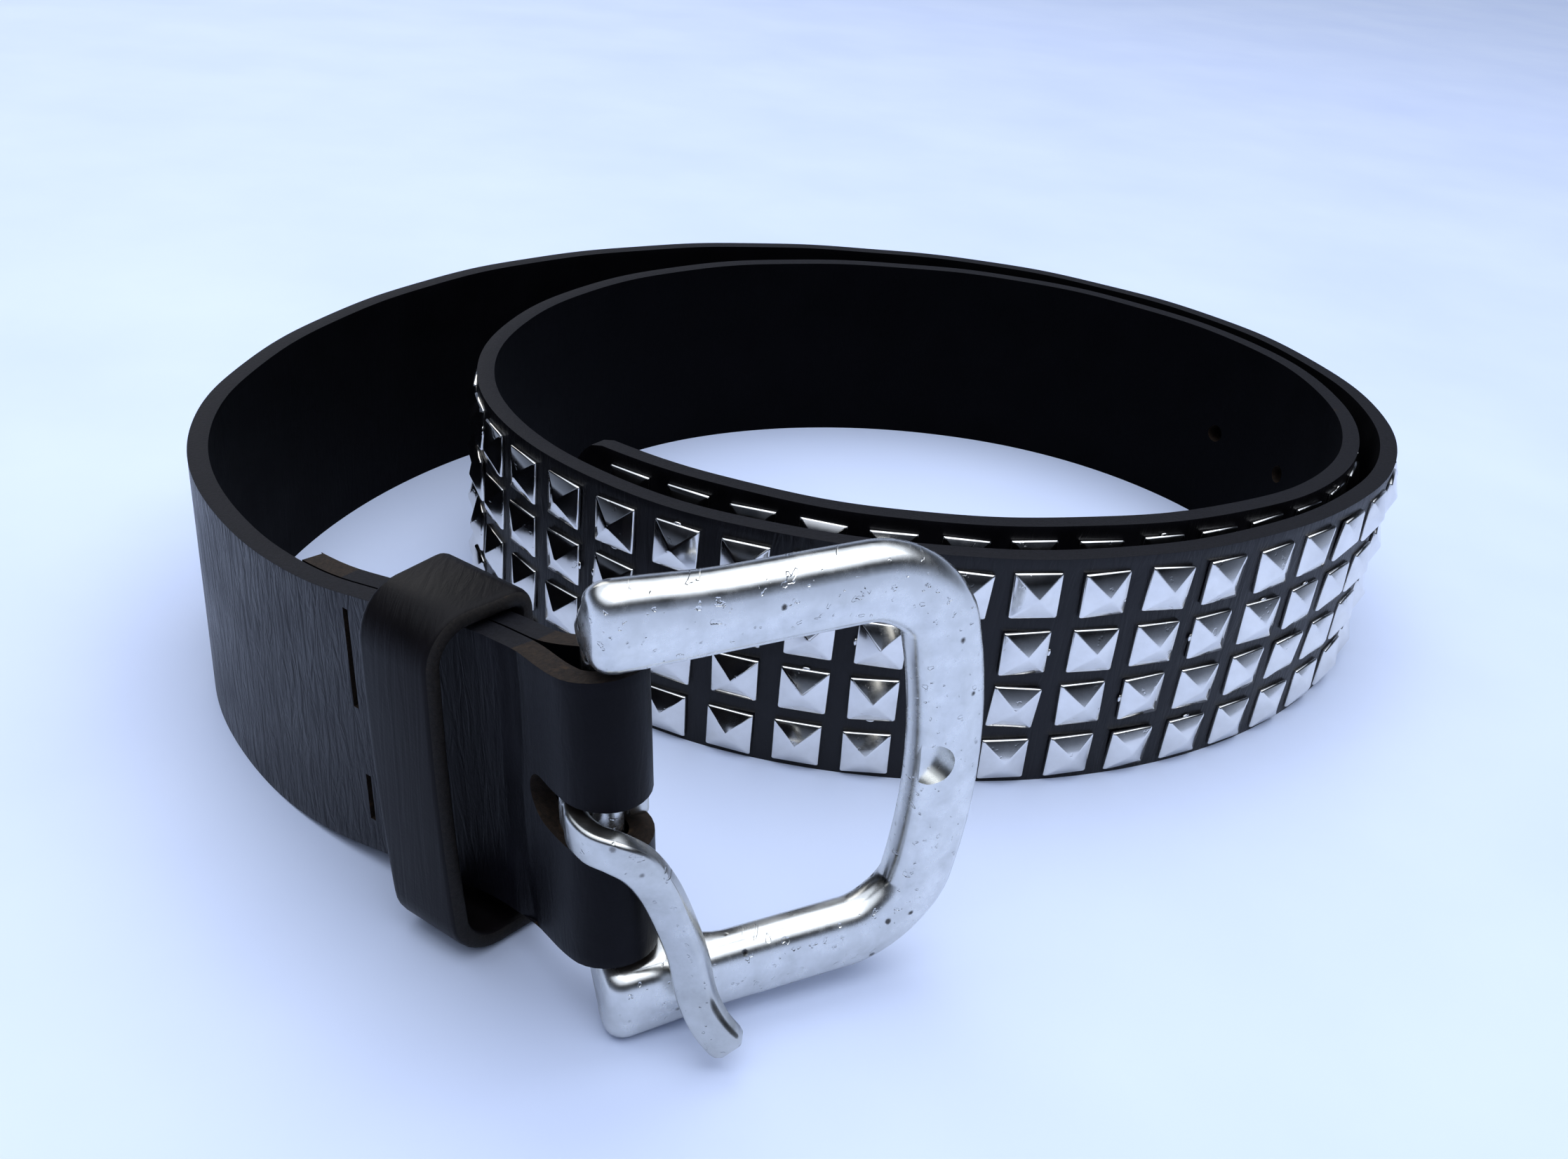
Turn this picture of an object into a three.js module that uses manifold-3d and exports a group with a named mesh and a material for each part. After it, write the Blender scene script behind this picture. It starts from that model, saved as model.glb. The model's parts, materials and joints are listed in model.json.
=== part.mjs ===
// A studded leather belt with a cast heel-bar buckle, lying coiled and standing on its edge.
// Millimetres, +Z up. The strap's route is drawn in plan from the buckle's bar to the tip;
// the finished group is moved so that the origin is the bottom centre of the whole belt.

import * as THREE from 'three';
import { mergeVertices } from 'three/addons/utils/BufferGeometryUtils.js';
import Module from 'manifold-3d';

const wasm = await Module();
wasm.setup();

// Strap
const STRAP_LENGTH = 1030;       // the route's length, from the bar to just past the tip
const STRAP_WIDTH = 38;
const STRAP_THICKNESS = 2.8;
const EDGE_BEVEL = 0.5;
const START_HEADING = 137;       // degrees in plan, leaving the bar
const TIP_LENGTH = 10;           // the last stretch, where the strap narrows to a rounded point
const TIP_POWER = 2.2;
const LAYER_GAP = 0.25;          // between the two leathers of the fold

// Studs: pyramids in straight rows, pressed tight onto the outer face
const STUD_SIDE = 7.1;
const STUD_HEIGHT = 2;
const STUD_ROWS = 4;
const LOWER_MARGIN = 0.85;
const UPPER_MARGIN = 2.15;
const LOWEST_ROW = LOWER_MARGIN + STUD_SIDE / 2;
const HIGHEST_ROW = STRAP_WIDTH - UPPER_MARGIN - STUD_SIDE / 2;
const ROW_PITCH = (HIGHEST_ROW - LOWEST_ROW) / (STUD_ROWS - 1);
const COLUMN_PITCH = 10.1;
const STUDS_START = 109.7;       // along the strap, the near edge of the first column's ground
const STUDS_END_MARGIN = 16;     // bare leather at the tip

// The way up to the buckle: the frame is taller than the strap, so the strap's end is lifted
const LIFT = 10;                 // height of the strap's bottom edge at the bar
const LIFT_STRAIGHT = 40;        // how far it falls in a straight line from there
const LIFT_RUN = 65;             // where it reaches the surface
const LEAN = 0.07;               // lean of the strap's top towards -X, as a share of its height
const LEAN_STRAIGHT = 25;        // the stretch from the bar that leans in full
const LEAN_RUN = 57;             // where the strap stands upright again

// Fold round the bar, with the leather's end doubled back on the inner side
const BAR_RADIUS = 2;
const BAR_CLEARANCE = 0.5;
const BAR_INSET = 2.8;           // the bar's axis, inward of the outer leather's middle
const BULGE_RUN = 10;            // length over which the two leathers part to go round the bar
const BEND_END = 25;             // the strap's bend in front of the keeper ends before this
const FOLD_BACK = 53;            // the doubled-back end, from the bar
const SLOT_WIDTH = 6.2;
const SLOT_REACH = 7.5;          // slot's rounded end, from the bar's axis

// Prong holes, at mid-height in the gaps between columns
const HOLE_RADIUS = 1.7;
const HOLE_COUNT = 6;
const HOLE_STEP = 2;             // columns between holes
const FIRST_HOLE_COLUMN = 70;    // counted from the first stud column

// Keeper: a leather loop round both leathers, standing on the surface, open towards the buckle
const KEEPER_BAND = 12;
const KEEPER_THICKNESS = 2.3;
const KEEPER_START = 16;         // its rim, from the bar
const KEEPER_ROOM = 4.3;         // free space over the strap's outer face
const KEEPER_TOP_ROOM = 0.5;     // free space over the strap's top edge
const KEEPER_FOOT = 0.3;         // its lowest line above the surface
const KEEPER_BACK_GAP = 0.3;
const KEEPER_CORNER = 6.3;        // outer radius of its corners on the front
const KEEPER_BACK_CORNER = 2.8;  // and of those behind, bent tight round the strap's edges

// Buckle frame
const FRAME_SWING = 69.7;        // turned on its bar from the strap's line
const FRAME_WINDOW = 39.6;       // inside height between the legs
const FRAME_LEG = 9.2;           // width of the legs, seen from the front
const FRAME_THICKNESS = 5.4;
const FRAME_LENGTH = 35.4;       // bar to the middle of the far side
const FRAME_BOW = 4;             // outward bow of the far side
const FRAME_CORNER = 7.4;        // corner radius on the middle line
const FRAME_SETBACK = 4.1;       // the bar lies behind the frame's middle plane
const FRAME_EDGE = 1.9;          // rounding of its edges
const BAR_LEAN = 0.06;           // lean of the bar's top towards -X
const STRAP_DROP = 0.5;          // the strap rests low in the window
const HEEL_REACH = 2.4;          // legs past the bar's axis
const HEEL_RUN = 13;             // length over which the heel deepens to take the bar
const HEEL_COVER = 0.4;          // metal behind the bar
const HEEL_ROUND = 1.8;          // rounding of the legs' ends
const NOTCH_RADIUS = 2.6;
const NOTCH_DEPTH = 1.1;

// Prong, bent from flat bar round the buckle's bar
const PRONG_WIDTH = 4.4;
const PRONG_THICKNESS = 2.6;
const PRONG_CLEARANCE = 0.35;
const PRONG_EDGE = 0.5;          // bevel of its edges
const PRONG_LOOP_START = 10;     // degrees round the bar, from the legs' line towards the front
const PRONG_LOOP_TURN = 200;     // backwards round the bar to the shank

const MIDDLE = STRAP_WIDTH / 2;
const HALF = STRAP_THICKNESS / 2;
const radians = THREE.MathUtils.degToRad;

// The strap's route in plan: each section is an arc, its length a share of the strap's
const ROUTE = [
  { share: 0.0133, turn: 0 },
  { share: 0.008, turn: 13 },
  { share: 0.0185, turn: 0 },
  { share: 0.034, turn: -23 },
  { share: 0.039, turn: -38 },
  { share: 0.053, turn: -28 },
  { share: 0.063, turn: -35 },
  { share: 0.058, turn: -29 },
  { share: 0.049, turn: -35 },
  { share: 0.044, turn: -38 },
  { share: 0.049, turn: -52 },
  { share: 0.049, turn: -30 },
  { share: 0.053, turn: -33 },
  { share: 0.044, turn: -39 },
  { share: 0.044, turn: -49 },
  { share: 0.058, turn: -47 },
  { share: 0.063, turn: -42 },
  { share: 0.049, turn: -41 },
  { share: 0.039, turn: -44 },
  { share: 0.044, turn: -49.5 },
  { share: 0.049, turn: -29 },
  { share: 0.068, turn: -47.5 },
  { share: 0.013, turn: -22 },
];

// Position and heading in plan at a distance along the route
function planAt(distance) {
  let x = 0;
  let y = 0;
  let heading = radians(START_HEADING);
  let left = distance;
  for (const section of ROUTE) {
    const length = section.share * STRAP_LENGTH;
    const last = section === ROUTE[ROUTE.length - 1];
    const run = last ? left : Math.min(left, length);
    const turn = radians(section.turn) * run / length;
    const chord = Math.abs(turn) < 1e-9 ? run : 2 * run / turn * Math.sin(turn / 2);
    x += chord * Math.cos(heading + turn / 2);
    y += chord * Math.sin(heading + turn / 2);
    heading += turn;
    left -= run;
    if (left <= 0) break;
  }
  return { x, y, heading };
}

// Height of the strap's bottom edge: a straight fall from the bar, then a soft landing
function liftAt(distance) {
  const landing = LIFT_RUN - LIFT_STRAIGHT;
  const fall = LIFT / (LIFT_STRAIGHT + landing / 2);
  if (distance <= LIFT_STRAIGHT) return LIFT - fall * distance;
  const left = Math.max(LIFT_RUN - distance, 0);
  return fall * left * left / landing / 2;
}

// A point given by distance along the strap, offset towards its outer face, and height on it
function place(distance, offset, height) {
  const { x, y, heading } = planAt(distance);
  const lean = LEAN * THREE.MathUtils.smoothstep(LEAN_RUN - distance, 0, LEAN_RUN - LEAN_STRAIGHT);
  return new THREE.Vector3(
    x - offset * Math.sin(heading) - lean * height,
    y + offset * Math.cos(heading),
    liftAt(distance) + height * Math.sqrt(1 - lean * lean));
}

// Triangle collector; loops of one size are joined by walls and closed by caps
class Shell {
  constructor() {
    this.points = [];
    this.triangles = [];
  }
  triangle(a, b, c) {
    this.triangles.push([a, b, c]);
  }
  quad(a, b, c, d) {
    this.triangle(a, b, c);
    this.triangle(a, c, d);
  }
  wall(from, to, side) {
    const next = (side + 1) % from.length;
    this.quad(from[side], from[next], to[next], to[side]);
  }
  cap(loop, reversed) {
    for (let i = 1; i + 1 < loop.length; i++) {
      if (reversed) this.triangle(loop[0], loop[i + 1], loop[i]);
      else this.triangle(loop[0], loop[i], loop[i + 1]);
    }
  }
  loft(loops, closed = false) {
    const count = closed ? loops.length : loops.length - 1;
    for (let i = 0; i < count; i++) {
      const to = loops[(i + 1) % loops.length];
      for (let side = 0; side < to.length; side++) this.wall(loops[i], to, side);
    }
    if (!closed) {
      this.cap(loops[0], true);
      this.cap(loops[loops.length - 1], false);
    }
    return this;
  }
  geometry() {
    const volume = this.triangles.reduce((sum, [a, b, c]) => sum + a.dot(b.clone().cross(c)), 0);
    const coordinates = [];
    for (const [a, b, c] of this.triangles) {
      const corners = volume > 0 ? [a, b, c] : [a, c, b];
      for (const p of corners) coordinates.push(p.x, p.y, p.z);
    }
    const geometry = new THREE.BufferGeometry();
    geometry.setAttribute('position', new THREE.Float32BufferAttribute(coordinates, 3));
    return mergeVertices(geometry, 1e-4);
  }
}

function toSolid(geometry) {
  const bare = geometry.clone();
  bare.deleteAttribute('normal');
  bare.deleteAttribute('uv');
  const merged = mergeVertices(bare, 1e-4);
  return new wasm.Manifold(new wasm.Mesh({
    numProp: 3,
    vertProperties: new Float32Array(merged.attributes.position.array),
    triVerts: new Uint32Array(merged.index.array),
  }));
}

function fromSolid(solid) {
  const mesh = solid.getMesh();
  const geometry = new THREE.BufferGeometry();
  geometry.setAttribute('position', new THREE.BufferAttribute(mesh.vertProperties, 3));
  geometry.setIndex(new THREE.BufferAttribute(mesh.triVerts, 1));
  return geometry;
}

// Distances from one stop to another in even steps of about the given size, without the first
function steps(from, to, size) {
  const count = Math.round((to - from) / size);
  return Array.from({ length: count }, (_, i) => from + (to - from) * (i + 1) / count);
}

// Strap section: a flat band with bevelled edges; side 0 is the outer face
function strapSection(at, trim = 0) {
  const low = trim;
  const high = STRAP_WIDTH - trim;
  return [
    at(HALF, low + EDGE_BEVEL),
    at(HALF, high - EDGE_BEVEL),
    at(HALF - EDGE_BEVEL, high),
    at(EDGE_BEVEL - HALF, high),
    at(-HALF, high - EDGE_BEVEL),
    at(-HALF, low + EDGE_BEVEL),
    at(EDGE_BEVEL - HALF, low),
    at(HALF - EDGE_BEVEL, low),
  ];
}

// The outer face between two sections, with a column of studs standing on it
function studdedFace(shell, from, to) {
  const origin = from[0];
  const along = to[0].clone().sub(origin);
  const length = along.length();
  along.normalize();
  const up = from[1].clone().sub(origin);
  const height = up.length();
  up.normalize();
  const out = along.clone().cross(up).normalize();
  const inward = from[4].clone().sub(origin);
  if (out.dot(inward) > 0) out.negate();
  const at = (a, b, n = 0) => origin.clone()
    .addScaledVector(along, a).addScaledVector(up, b).addScaledVector(out, n);
  const flat = [[0, 0], [length, 0], [length, height], [0, height]];
  const solidPoints = [from[0], to[0], to[1], from[1]];
  const holes = [];
  for (let row = 0; row < STUD_ROWS; row++) {
    const middle = LOWEST_ROW - EDGE_BEVEL + row * ROW_PITCH;
    const left = length / 2 - STUD_SIDE / 2;
    const right = length / 2 + STUD_SIDE / 2;
    const bottom = middle - STUD_SIDE / 2;
    const top = middle + STUD_SIDE / 2;
    const corners = [[left, bottom], [right, bottom], [right, top], [left, top]];
    const base = corners.map(([a, b]) => at(a, b));
    const apex = at(length / 2, middle, STUD_HEIGHT);
    for (let i = 0; i < 4; i++) shell.triangle(base[i], apex, base[(i + 1) % 4]);
    holes.push(corners);
    solidPoints.push(...base.slice().reverse());
  }
  const contour2 = flat.map(([a, b]) => new THREE.Vector2(a, b));
  const holes2 = holes.map((hole) => hole.map(([a, b]) => new THREE.Vector2(a, b)).reverse());
  for (const [a, b, c] of THREE.ShapeUtils.triangulateShape(contour2, holes2)) {
    shell.triangle(solidPoints[a], solidPoints[c], solidPoints[b]);
  }
}

// The two leathers' middle lines: radius round the bar, and distance apart where they lie flat
const FOLD_RADIUS = BAR_RADIUS + BAR_CLEARANCE + HALF;
const LAYER_STEP = STRAP_THICKNESS + LAYER_GAP;

// Section of a leather that swings from its line beside the bar to its line at rest
function bulgeSection(distance, atBar, atRest, face) {
  const t = Math.min(distance / BULGE_RUN, 1);
  const swing = (atBar - atRest) / 2;
  const offset = atRest + swing * (1 + Math.cos(Math.PI * t));
  const tilt = Math.atan(-swing * Math.sin(Math.PI * t) * Math.PI / BULGE_RUN);
  return strapSection((n, h) => place(
    distance - face * n * Math.sin(tilt),
    offset + face * n * Math.cos(tilt), h));
}

// Strap with its fold and studs
function strapGeometry() {
  const sections = [];
  const BULGE_STEPS = 6;
  // doubled-back end, from its cut edge towards the bar
  const backStops = [BULGE_RUN, ...steps(BULGE_RUN, BEND_END, 2.4), ...steps(BEND_END, FOLD_BACK, 7)];
  for (const distance of backStops.reverse().slice(0, -1)) {
    sections.push(bulgeSection(distance, 0, -LAYER_STEP, -1));
  }
  for (let i = BULGE_STEPS; i > 0; i--) {
    const distance = BULGE_RUN * i / BULGE_STEPS;
    sections.push(bulgeSection(distance, -BAR_INSET - FOLD_RADIUS, -LAYER_STEP, -1));
  }
  // half turn round the bar
  const FOLD_STEPS = 10;
  for (let i = 0; i <= FOLD_STEPS; i++) {
    const angle = Math.PI * i / FOLD_STEPS;
    sections.push(strapSection((n, h) => place(
      -(FOLD_RADIUS + n) * Math.sin(angle),
      -BAR_INSET - (FOLD_RADIUS + n) * Math.cos(angle), h)));
  }
  // the outer leather comes back beside the inner one
  for (let i = 1; i <= BULGE_STEPS; i++) {
    const distance = BULGE_RUN * i / BULGE_STEPS;
    sections.push(bulgeSection(distance, FOLD_RADIUS - BAR_INSET, 0, 1));
  }
  // plain stretch under the keeper and on to the first studs
  for (const distance of [...steps(BULGE_RUN, BEND_END, 2.4), ...steps(BEND_END, STUDS_START, 7)]) {
    sections.push(strapSection((n, h) => place(distance, n, h)));
  }
  const firstStudded = sections.length - 1;
  const columns = Math.floor((STRAP_LENGTH - STUDS_END_MARGIN - STUDS_START) / COLUMN_PITCH);
  for (let i = 1; i <= columns; i++) {
    const distance = STUDS_START + i * COLUMN_PITCH;
    sections.push(strapSection((n, h) => place(distance, n, h)));
  }
  const lastStudded = sections.length - 1;
  // rounded tip
  const tipStart = STUDS_START + columns * COLUMN_PITCH + 0.5;
  for (const share of [0, 0.3, 0.55, 0.75, 0.9, 0.98]) {
    const trim = (MIDDLE - EDGE_BEVEL * 2) * share ** TIP_POWER;
    sections.push(strapSection((n, h) => place(tipStart + TIP_LENGTH * share, n, h), trim));
  }

  const shell = new Shell();
  for (let i = 0; i + 1 < sections.length; i++) {
    const studded = i >= firstStudded && i < lastStudded;
    if (studded) studdedFace(shell, sections[i], sections[i + 1]);
    else shell.wall(sections[i], sections[i + 1], 0);
    for (let side = 1; side < sections[i].length; side++) {
      shell.wall(sections[i], sections[i + 1], side);
    }
  }
  shell.cap(sections[0], true);
  shell.cap(sections[sections.length - 1], false);
  let solid = toSolid(shell.geometry());

  // slot for the prong, across the fold
  solid = solid.subtract(toSolid(slotCutter()));
  for (let i = 0; i < HOLE_COUNT; i++) {
    solid = solid.subtract(toSolid(holeCutter(FIRST_HOLE_COLUMN + i * HOLE_STEP)));
  }
  return fromSolid(solid);
}

// A straight prism between two faces of one outline, given as points made by a placing function
function prism(outline, at, low, high) {
  const bottom = outline.map(([a, b]) => at(a, b, low));
  const top = outline.map(([a, b]) => at(a, b, high));
  return new Shell().loft([bottom, top]).geometry();
}

function slotCutter() {
  const half = SLOT_WIDTH / 2;
  const outline = [[-SLOT_REACH * 2, -half], [-SLOT_REACH * 2, half]];
  const ARC_STEPS = 6;
  for (let i = 0; i <= ARC_STEPS; i++) {
    const angle = Math.PI / 2 - Math.PI * i / ARC_STEPS;
    outline.push([SLOT_REACH - half + half * Math.cos(angle), half * Math.sin(angle)]);
  }
  const reach = FOLD_RADIUS + STRAP_THICKNESS * 2;
  const level = LIFT + MIDDLE + STRAP_DROP;
  const at = (a, b, n) => place(a, n - BAR_INSET, level - liftAt(a) + b);
  return prism(outline, at, -reach, reach);
}

function holeCutter(column) {
  const distance = STUDS_START + column * COLUMN_PITCH;
  const outline = [];
  const SIDES = 12;
  for (let i = 0; i < SIDES; i++) {
    const angle = 2 * Math.PI * i / SIDES;
    outline.push([HOLE_RADIUS * Math.cos(angle), HOLE_RADIUS * Math.sin(angle)]);
  }
  const { x, y, heading } = planAt(distance);
  const middle = LOWEST_ROW + ROW_PITCH * (STUD_ROWS - 1) / 2;
  const at = (a, b, n) => new THREE.Vector3(
    x + a * Math.cos(heading) - n * Math.sin(heading),
    y + a * Math.sin(heading) + n * Math.cos(heading),
    middle + b);
  return prism(outline, at, -STRAP_THICKNESS, STRAP_THICKNESS);
}

// Keeper: a band of leather swept round a rounded rectangle across the strap
function keeperGeometry() {
  const back = -LAYER_STEP - HALF - KEEPER_BACK_GAP;
  const front = HALF + KEEPER_ROOM;
  const low = KEEPER_FOOT + KEEPER_THICKNESS;
  const high = liftAt(KEEPER_START) + STRAP_WIDTH + KEEPER_TOP_ROOM;
  const corners = [
    { x: front, z: high, inX: -1, inZ: -1, radius: KEEPER_CORNER, start: 0 },
    { x: back, z: high, inX: 1, inZ: -1, radius: KEEPER_BACK_CORNER, start: 90 },
    { x: back, z: low, inX: 1, inZ: 1, radius: KEEPER_BACK_CORNER, start: 180 },
    { x: front, z: low, inX: -1, inZ: 1, radius: KEEPER_CORNER, start: 270 },
  ];
  const CORNER_STEPS = 5;
  const edge = 0.4;
  const band = [
    [0, edge], [0, KEEPER_THICKNESS - edge], [edge, KEEPER_THICKNESS],
    [KEEPER_BAND / 2, KEEPER_THICKNESS],
    [KEEPER_BAND - edge, KEEPER_THICKNESS], [KEEPER_BAND, KEEPER_THICKNESS - edge],
    [KEEPER_BAND, edge], [KEEPER_BAND - edge, 0],
    [KEEPER_BAND / 2, 0], [edge, 0],
  ];
  const loops = [];
  for (const { x, z, inX, inZ, radius, start } of corners) {
    const inner = radius - KEEPER_THICKNESS;
    for (let i = 0; i <= CORNER_STEPS; i++) {
      const angle = radians(start + 90 * i / CORNER_STEPS);
      loops.push(band.map(([along, thick]) => {
        const distance = KEEPER_START + along;
        const offset = x + inX * inner + (inner + thick) * Math.cos(angle);
        const height = z + inZ * inner + (inner + thick) * Math.sin(angle);
        return place(distance, offset, height - liftAt(distance));
      }));
    }
  }
  return new Shell().loft(loops, true).geometry();
}

// Buckle frame in its own axes: x along the legs from the bar, y along the bar, z to the front
const LEG_MIDDLE = (FRAME_WINDOW + FRAME_LEG) / 2;

// Rounded section round a middle point, deeper on its inner side where the heel takes the bar
function frameSection({ centre, outward, innerBack, outerBack, front, width }) {
  const loop = [];
  const CORNER_STEPS = 2;
  const r = FRAME_EDGE;
  const corners = [
    [width / 2 - r, front - r, 0], [r - width / 2, front - r, 90],
    [r - width / 2, innerBack + r, 180], [width / 2 - r, outerBack + r, 270],
  ];
  for (const [u, w, start] of corners) {
    for (let i = 0; i <= CORNER_STEPS; i++) {
      const angle = radians(start + 90 * i / CORNER_STEPS);
      const across = u + r * Math.cos(angle);
      loop.push(new THREE.Vector3(
        centre.x + across * outward.x,
        centre.y + across * outward.y,
        w + r * Math.sin(angle)));
    }
  }
  return loop;
}

function frameGeometry() {
  const front = FRAME_SETBACK + FRAME_THICKNESS / 2;
  const plainBack = FRAME_SETBACK - FRAME_THICKNESS / 2;
  const heelBack = -BAR_RADIUS - HEEL_COVER;
  const stops = [];
  const legEnd = FRAME_LENGTH - FRAME_CORNER;
  const roundStops = [0, 0.15, 0.5, 1].map((share) => share * HEEL_ROUND - HEEL_REACH);
  for (const x of [...roundStops, 3, 7, 11, HEEL_RUN, 20]) {
    stops.push({ centre: new THREE.Vector2(x, LEG_MIDDLE), outward: new THREE.Vector2(0, 1) });
  }
  const CORNER_STEPS = 6;
  for (let i = 0; i <= CORNER_STEPS; i++) {
    const angle = Math.PI / 2 * (1 - i / CORNER_STEPS);
    const outward = new THREE.Vector2(Math.cos(angle), Math.sin(angle));
    const centre = new THREE.Vector2(legEnd, LEG_MIDDLE - FRAME_CORNER)
      .addScaledVector(outward, FRAME_CORNER);
    stops.push({ centre, outward });
  }
  stops.push({ centre: new THREE.Vector2(FRAME_LENGTH, LEG_MIDDLE / 3), outward: new THREE.Vector2(1, 0) });
  const mirrored = stops.slice().reverse().map(({ centre, outward }) => ({
    centre: new THREE.Vector2(centre.x, -centre.y),
    outward: new THREE.Vector2(outward.x, -outward.y),
  }));
  const loops = [...stops, ...mirrored].map(({ centre, outward }) => {
    const toFar = THREE.MathUtils.clamp((centre.x - HEEL_RUN) / (FRAME_LENGTH - HEEL_RUN), 0, 1);
    centre.x += FRAME_BOW * (1 - (centre.y / LEG_MIDDLE) ** 2) * toFar ** 2;
    const heel = THREE.MathUtils.smoothstep(HEEL_RUN - centre.x, 0, HEEL_RUN - 3);
    const fromEnd = THREE.MathUtils.clamp((centre.x + HEEL_REACH) / HEEL_ROUND, 0, 1);
    const inset = HEEL_ROUND * (1 - Math.sqrt(1 - (1 - fromEnd) ** 2)) / 2;
    return frameSection({
      centre,
      outward,
      innerBack: THREE.MathUtils.lerp(plainBack, heelBack, heel) + inset,
      outerBack: plainBack + inset,
      front: front - inset,
      width: FRAME_LEG - 2 * inset,
    });
  });
  let solid = toSolid(new Shell().loft(loops).geometry());
  const bar = new THREE.CylinderGeometry(BAR_RADIUS, BAR_RADIUS, 2 * LEG_MIDDLE, 12);
  solid = solid.add(toSolid(bar));
  const notch = new THREE.CylinderGeometry(NOTCH_RADIUS, NOTCH_RADIUS, FRAME_LEG, 12);
  notch.rotateZ(Math.PI / 2);
  notch.translate(FRAME_LENGTH + FRAME_BOW - FRAME_LEG / 2, 0, front + NOTCH_RADIUS - NOTCH_DEPTH);
  solid = solid.subtract(toSolid(notch));
  return fromSolid(solid);
}

// Shank of the prong in the frame's axes: x along the legs, y along the bar, z to the front,
// and the angle that its outer face looks to, in degrees from x towards z
const PRONG_SHANK = [
  { x: -3.9, y: 0, z: 3, face: 165 },
  { x: -3.1, y: -0.1, z: 5.6, face: 148 },
  { x: -1.2, y: -0.6, z: 7.3, face: 118 },
  { x: 1.2, y: -2.8, z: 7.6, face: 105 },
  { x: 3.3, y: -6.6, z: 7.6, face: 116 },
  { x: 5, y: -11.4, z: 7.9, face: 126 },
  { x: 6.3, y: -16.4, z: 8.6, face: 128 },
  { x: 6.9, y: -21.4, z: 9.7, face: 122 },
  { x: 7.9, y: -24.6, z: 11.6, face: 115 },
  { x: 9.8, y: -27.4, z: 13.3, face: 110 },
];

// Prong: an open loop round the bar, then the shank to its bent tip
function prongGeometry() {
  const loopRadius = BAR_RADIUS + PRONG_CLEARANCE + PRONG_THICKNESS / 2;
  const LOOP_STEPS = 9;
  const path = [];
  for (let i = 0; i <= LOOP_STEPS; i++) {
    const face = PRONG_LOOP_START - PRONG_LOOP_TURN * i / LOOP_STEPS;
    const x = loopRadius * Math.cos(radians(face));
    const z = loopRadius * Math.sin(radians(face));
    path.push({ x, y: 0, z, face });
  }
  path.push(...PRONG_SHANK);
  const points = path.map(({ x, y, z }) => new THREE.Vector3(x, y, z));
  const w = PRONG_WIDTH / 2;
  const t = PRONG_THICKNESS / 2;
  const e = PRONG_EDGE;
  const section = [
    [w, t - e], [w - e, t], [e - w, t], [-w, t - e],
    [-w, e - t], [e - w, -t], [w - e, -t], [w, e - t],
  ];
  const loops = points.map((point, i) => {
    const before = points[Math.max(i - 1, 0)];
    const after = points[Math.min(i + 1, points.length - 1)];
    const forward = after.clone().sub(before).normalize();
    const face = radians(path[i].face);
    const thick = new THREE.Vector3(Math.cos(face), 0, Math.sin(face));
    thick.addScaledVector(forward, -thick.dot(forward)).normalize();
    const wide = thick.clone().cross(forward).normalize();
    return section.map(([across, up]) => point.clone()
      .addScaledVector(wide, across)
      .addScaledVector(thick, up));
  });
  return new Shell().loft(loops).geometry();
}

const leather = new THREE.MeshStandardMaterial({ color: 0x1b1a1d, roughness: 0.5, metalness: 0 });
const keeperLeather = new THREE.MeshStandardMaterial({ color: 0x242226, roughness: 0.45, metalness: 0 });
const castMetal = new THREE.MeshStandardMaterial({ color: 0xb9b9b6, roughness: 0.32, metalness: 1 });

function named(name, geometry, material) {
  geometry.computeVertexNormals();
  const mesh = new THREE.Mesh(geometry, material);
  mesh.name = name;
  return mesh;
}

const belt = new THREE.Group();
belt.add(named('strap', strapGeometry(), leather));
belt.add(named('keeper', keeperGeometry(), keeperLeather));

// The buckle hangs on its bar: its own axes are the legs' line, the bar and the front
const barMiddle = place(0, -BAR_INSET, MIDDLE);
barMiddle.z += STRAP_DROP;
const barAxis = new THREE.Vector3(-BAR_LEAN, 0, 1).normalize();
const legHeading = radians(START_HEADING + 180 + FRAME_SWING);
const legLine = new THREE.Vector3(Math.cos(legHeading), Math.sin(legHeading), 0);
legLine.addScaledVector(barAxis, -legLine.dot(barAxis)).normalize();
const frontLine = legLine.clone().cross(barAxis);
const buckle = new THREE.Group();
buckle.applyMatrix4(new THREE.Matrix4().makeBasis(legLine, barAxis, frontLine));
buckle.position.copy(barMiddle);
buckle.add(named('buckle_frame', frameGeometry(), castMetal));
buckle.add(named('prong', prongGeometry(), castMetal));
belt.add(buckle);

// Origin at the bottom centre of the whole belt
belt.updateMatrixWorld(true);
const box = new THREE.Box3().setFromObject(belt, true);
const centre = box.getCenter(new THREE.Vector3());
belt.position.set(-centre.x, -centre.y, -box.min.z);

export default belt;
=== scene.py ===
# %% [markdown]
# A studded leather belt, coiled twice and standing on its edge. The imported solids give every
# piece its place; here each one is made again as its maker makes it, and gets its finish.

# %% Load the frame
import json
import math
import random

import bmesh
import bpy
import numpy as np
from mathutils import Matrix, Vector


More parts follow.
